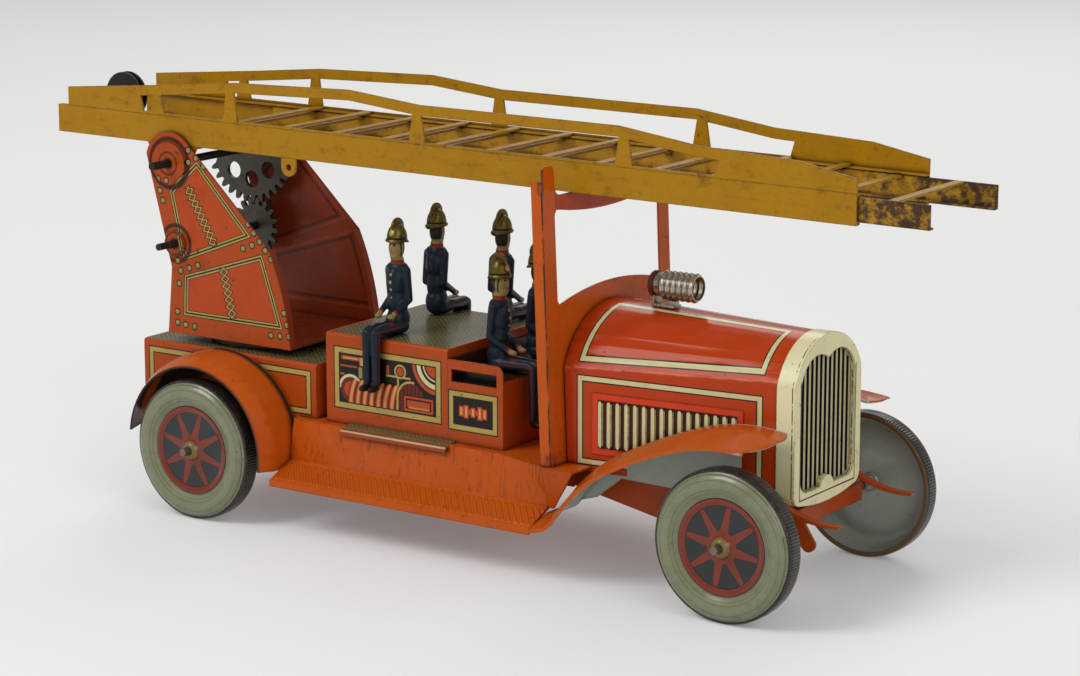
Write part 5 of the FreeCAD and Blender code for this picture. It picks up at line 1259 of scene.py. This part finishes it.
# %% [markdown]
# The crew are small pressed and painted figures. One is modelled from rounded primitives that are joined and
# remeshed into a single skin, so coat, arms and legs flow together as in pressed tin.

# %% One fireman
SKIN_STEP = 0.36
TRUNK = [((-0.2, 0, 5.0), (4.6, 4.1, 5.2)), ((-0.1, 0, 11.5), (4.1, 3.7, 7.0)), ((0.0, 0, 18.8), (4.5, 4.0, 6.6)),
         ((-0.2, 0, 23.4), (3.3, 4.5, 2.8)), ((0.0, 0, 26.4), (2.5, 2.4, 2.2)), ((0.3, 0, 31.0), (3.2, 2.75, 4.4)),
         ((1.1, 0, 28.2), (2.3, 2.0, 1.7)), ((3.5, 0, 30.9), (0.6, 0.5, 1.0))]


def add_ball(spot, radii):
    bpy.ops.mesh.primitive_uv_sphere_add(segments=24, ring_count=14, radius=1, location=Vector(spot) * MM)
    ball = bpy.context.object
    ball.scale = Vector(radii) * MM
    return ball


def add_limb(start, end, radius_start, radius_end):
    """A tapering rod between two points, with balls at both ends."""
    a, b = Vector(start), Vector(end)
    bpy.ops.mesh.primitive_cone_add(vertices=24, radius1=radius_start * MM, radius2=radius_end * MM,
                                    depth=(b - a).length * MM, location=(a + b) / 2 * MM)
    rod = bpy.context.object
    rod.rotation_mode = "QUATERNION"
    rod.rotation_quaternion = (b - a).to_track_quat("Z", "Y")
    return [rod, add_ball(start, (radius_start,) * 3), add_ball(end, (radius_end,) * 3)]


def model_fireman():
    deselect()
    parts = [add_ball(spot, radii) for spot, radii in TRUNK]
    for side in (-1, 1):
        parts += add_limb((0.0, 2.1 * side, 2.7), (13.6, 1.9 * side, 3.0), 2.5, 1.95)
        parts += add_limb((15.7, 1.9 * side, 2.2), (15.7, 1.9 * side, -15.4), 1.85, 1.45)
        parts += add_limb((14.8, 1.9 * side, 2.6), (15.7, 1.9 * side, 1.0), 1.95, 1.9)
        parts.append(add_ball((17.2, 1.9 * side, -17.4), (3.2, 1.6, 1.3)))
        parts += add_limb((-0.3, 3.6 * side, 22.8), (-1.4, 4.1 * side, 12.4), 1.75, 1.35)
        parts += add_limb((-1.4, 4.1 * side, 12.2), (6.0, 3.2 * side, 8.0), 1.35, 1.1)
        parts.append(add_ball((7.6, 2.8 * side, 7.2), (1.8, 1.2, 1.1)))
    activate(*parts)
    bpy.ops.object.join()
    figure = bpy.context.object
    settle()
    apply_modifier(figure, "REMESH", mode="VOXEL", voxel_size=SKIN_STEP * MM)
    apply_modifier(figure, "SMOOTH", factor=0.6, iterations=4)
    bpy.ops.object.shade_smooth()
    return figure


man = model_fireman()
print("fireman skin has", len(man.data.polygons), "faces")

# %% [markdown]
# The helmet is turned like the wheels but round an upright axis. Its brim dips front and back, and its crest is
# a thin round comb. The figure then keeps its own seated coordinates as a mesh attribute, so that one paint fits
# every copy, whichever way it faces.

# %% Helmet and seated place
DOME_RADIUS, DOME_RISE, DOME_START = 3.6, 5.6, 34.2
HELMET_LONGER = 1.08

dome = [(DOME_RADIUS * math.cos(math.radians(d)), DOME_START + DOME_RISE * math.sin(math.radians(d)))
        for d in range(0, 89, 8)]
brim = [(3.3, 33.4), (4.0, 33.2), (4.15, 33.6), (3.7, DOME_START)]
helmet = turn_on_axle("helmet", brim + dome + [(0.01, 39.8), (0.01, 33.4)], (0, 0, 0), (0, 0, 1), steps=40)
for vertex in helmet.data.vertices:
    reach = vertex.co.x / MM
    if vertex.co.z / MM < DOME_START + 0.1:
        vertex.co.z += (0.12 * reach - 0.026 * reach * reach) * MM
    vertex.co.x *= HELMET_LONGER
deselect()
bpy.ops.mesh.primitive_cylinder_add(vertices=40, radius=3.6 * MM, depth=0.9 * MM,
                                    location=(-0.2 * MM, 0, 37.9 * MM), rotation=(math.pi / 2, 0, 0))
comb = bpy.context.object
comb.scale = (1.0, HELMET_LONGER, 1.0)
settle()
apply_modifier(comb, "BEVEL", width=0.25 * MM, segments=2)
bpy.ops.object.shade_smooth_by_angle(angle=math.radians(40))
activate(man, helmet, comb)
bpy.ops.object.join()
places = man.data.attributes.new("seated_place", "FLOAT_VECTOR", "POINT")
for n, vertex in enumerate(man.data.vertices):
    places.data[n].vector = vertex.co / MM
print("fireman with helmet", len(man.data.polygons), "faces")

# %% [markdown]
# The figures' paint reads the stored place: navy coat and trousers with a thin red side stripe, red collar and
# cuffs, one row of small buttons, a dull brass helmet with a dark brim line, a chin strap and a plain face.

# %% Crew paint
CUFF_RED, HAIR = ink(120, 38, 26), ink(44, 34, 26)
CHIN, HELMET_START = 26.8, 33.3


def seated_place():
    """The three coordinates in the figure's own seated frame, in millimetres."""
    return split_place(add_node(Field.tree, "Attribute", attribute_name="seated_place").outputs["Vector"])


def face_print(coat, x, y, h):
    coat.fill(CHIN - h, SKIN, blur=0.15)
    coat.fill(x + 0.2, HAIR, inside(28.4 - h, 0.3), 0.4)
    front = inside(1.5 - x, 0.2)
    for side in (-1.0, 1.0):
        coat.fill(ball_gap((x, y, h), (3.0, side, 32.3), 0.40), ink(30, 24, 20), blur=0.15)
        coat.fill(box_gap(y, h, side, 33.2, 0.7, 0.13), HAIR, front)
        coat.fill(ball_gap((x, y, h), (2.6, side * 1.5, 30.4), 0.9), ink(156, 76, 54), 0.35, 0.8)
    coat.fill(box_gap(y, h, 0, 29.3, 0.9, 0.15), ink(118, 48, 36), front)
    coat.line(x - 0.7 - (h - 28.0) * 0.12, 0.3, ink(26, 22, 20), inside(28.0 - h, 0.2), 0.2)


def crew_print(coat, x, y, h):
    coat.fill(h + 15.2, ink(26, 24, 24), inside(12.0 - x, 0.4), 0.3)
    stripe = ribbon(h - 3.0, 0.3, 0.3) * inside(3.4 - abs(y), 0.3) * inside(2.0 - x, 0.3)
    shin_stripe = ribbon(x - 15.7, 0.3, 0.3) * inside(3.0 - abs(y), 0.2) * inside(h - 3.0, 0.5)
    coat.lay(most(stripe, shin_stripe) * 0.7, CUFF_RED)
    hands = least(*[ball_gap((x, y, h), (7.8, across, 7.2), 2.1) for across in (2.8, -2.8)])
    coat.fill(hands - 0.8, CUFF_RED, blur=0.2)
    coat.fill(hands, SKIN, blur=0.2)
    coat.line(h - 11.0, 0.45, ink(20, 20, 22), inside(abs(y) - 4.2, 0.2) * 0.8, 0.2)
    for level in (13.4, 16.2, 19.0, 21.8):
        coat.fill(ball_gap((x, y, h), (4.3, 0.0, level), 0.62), ink(164, 138, 74), blur=0.2)
    coat.fill(25.3 - h, ink(120, 42, 28), inside(h - CHIN, 0.2) * inside(abs(y) - 2.9, 0.3), 0.2)
    face_print(coat, x, y, h)
    coat.fill(HELMET_START - h, HELMET_BRASS, blur=0.08)
    coat.line(h - 34.6, 0.3, ink(34, 28, 18), blur=0.15)
    coat.fill(HELMET_START - h, ink(40, 36, 26), step_up(mottle(2.2, 4, 0.7), 0.5, 0.62) * 0.7, 0.08)
    coat.fill(ball_gap((x, y, h), (3.8, 0, 36.8), 1.2), ink(186, 160, 88), blur=0.3)


crew_paint = enamel("crew paint", NAVY, crew_print, gloss=0.34, wear=0.6, place_from=seated_place, chips=0.5)
brass = inside(HELMET_START - seated_place()[2], 0.1) * 0.7
Field.tree.links.new(brass.socket, crew_paint.node_tree.nodes["Principled BSDF"].inputs["Metallic"])
print("crew paint has", len(crew_paint.node_tree.nodes), "nodes")

# %% [markdown]
# Each of the five solids of firemen gives a seat: a copy of the figure is turned the way that fireman faces and
# moved there.

# %% Crew
SEATS = {"fireman_rear_right": -90, "fireman_rear_left": 90, "fireman_mid_left": 90, "fireman_front_right": 0,
         "fireman_driver": 0}
FIGURE_FOOT, FIGURE_BACK = 19.0, 5.2

for name, facing in SEATS.items():
    lowest, highest = corners(name)
    spot = [span(lowest[0], highest[0])[0], span(lowest[1], highest[1])[0], lowest[2] + FIGURE_FOOT]
    if facing == 0:
        spot[0] = lowest[0] + FIGURE_BACK
    elif facing == 90:
        spot[1] = lowest[1] + FIGURE_BACK
    else:
        spot[1] = highest[1] - FIGURE_BACK
    copy = bpy.data.objects.new(name + "_painted", man.data.copy())
    bpy.context.scene.collection.objects.link(copy)
    copy.data.transform(Matrix.Translation(Vector(spot) * MM) @ Matrix.Rotation(math.radians(facing), 4, "Z"))
    finished(copy, "chassis", crew_paint, [name])
bpy.data.objects.remove(man)
print(len(SEATS), "firemen seated")
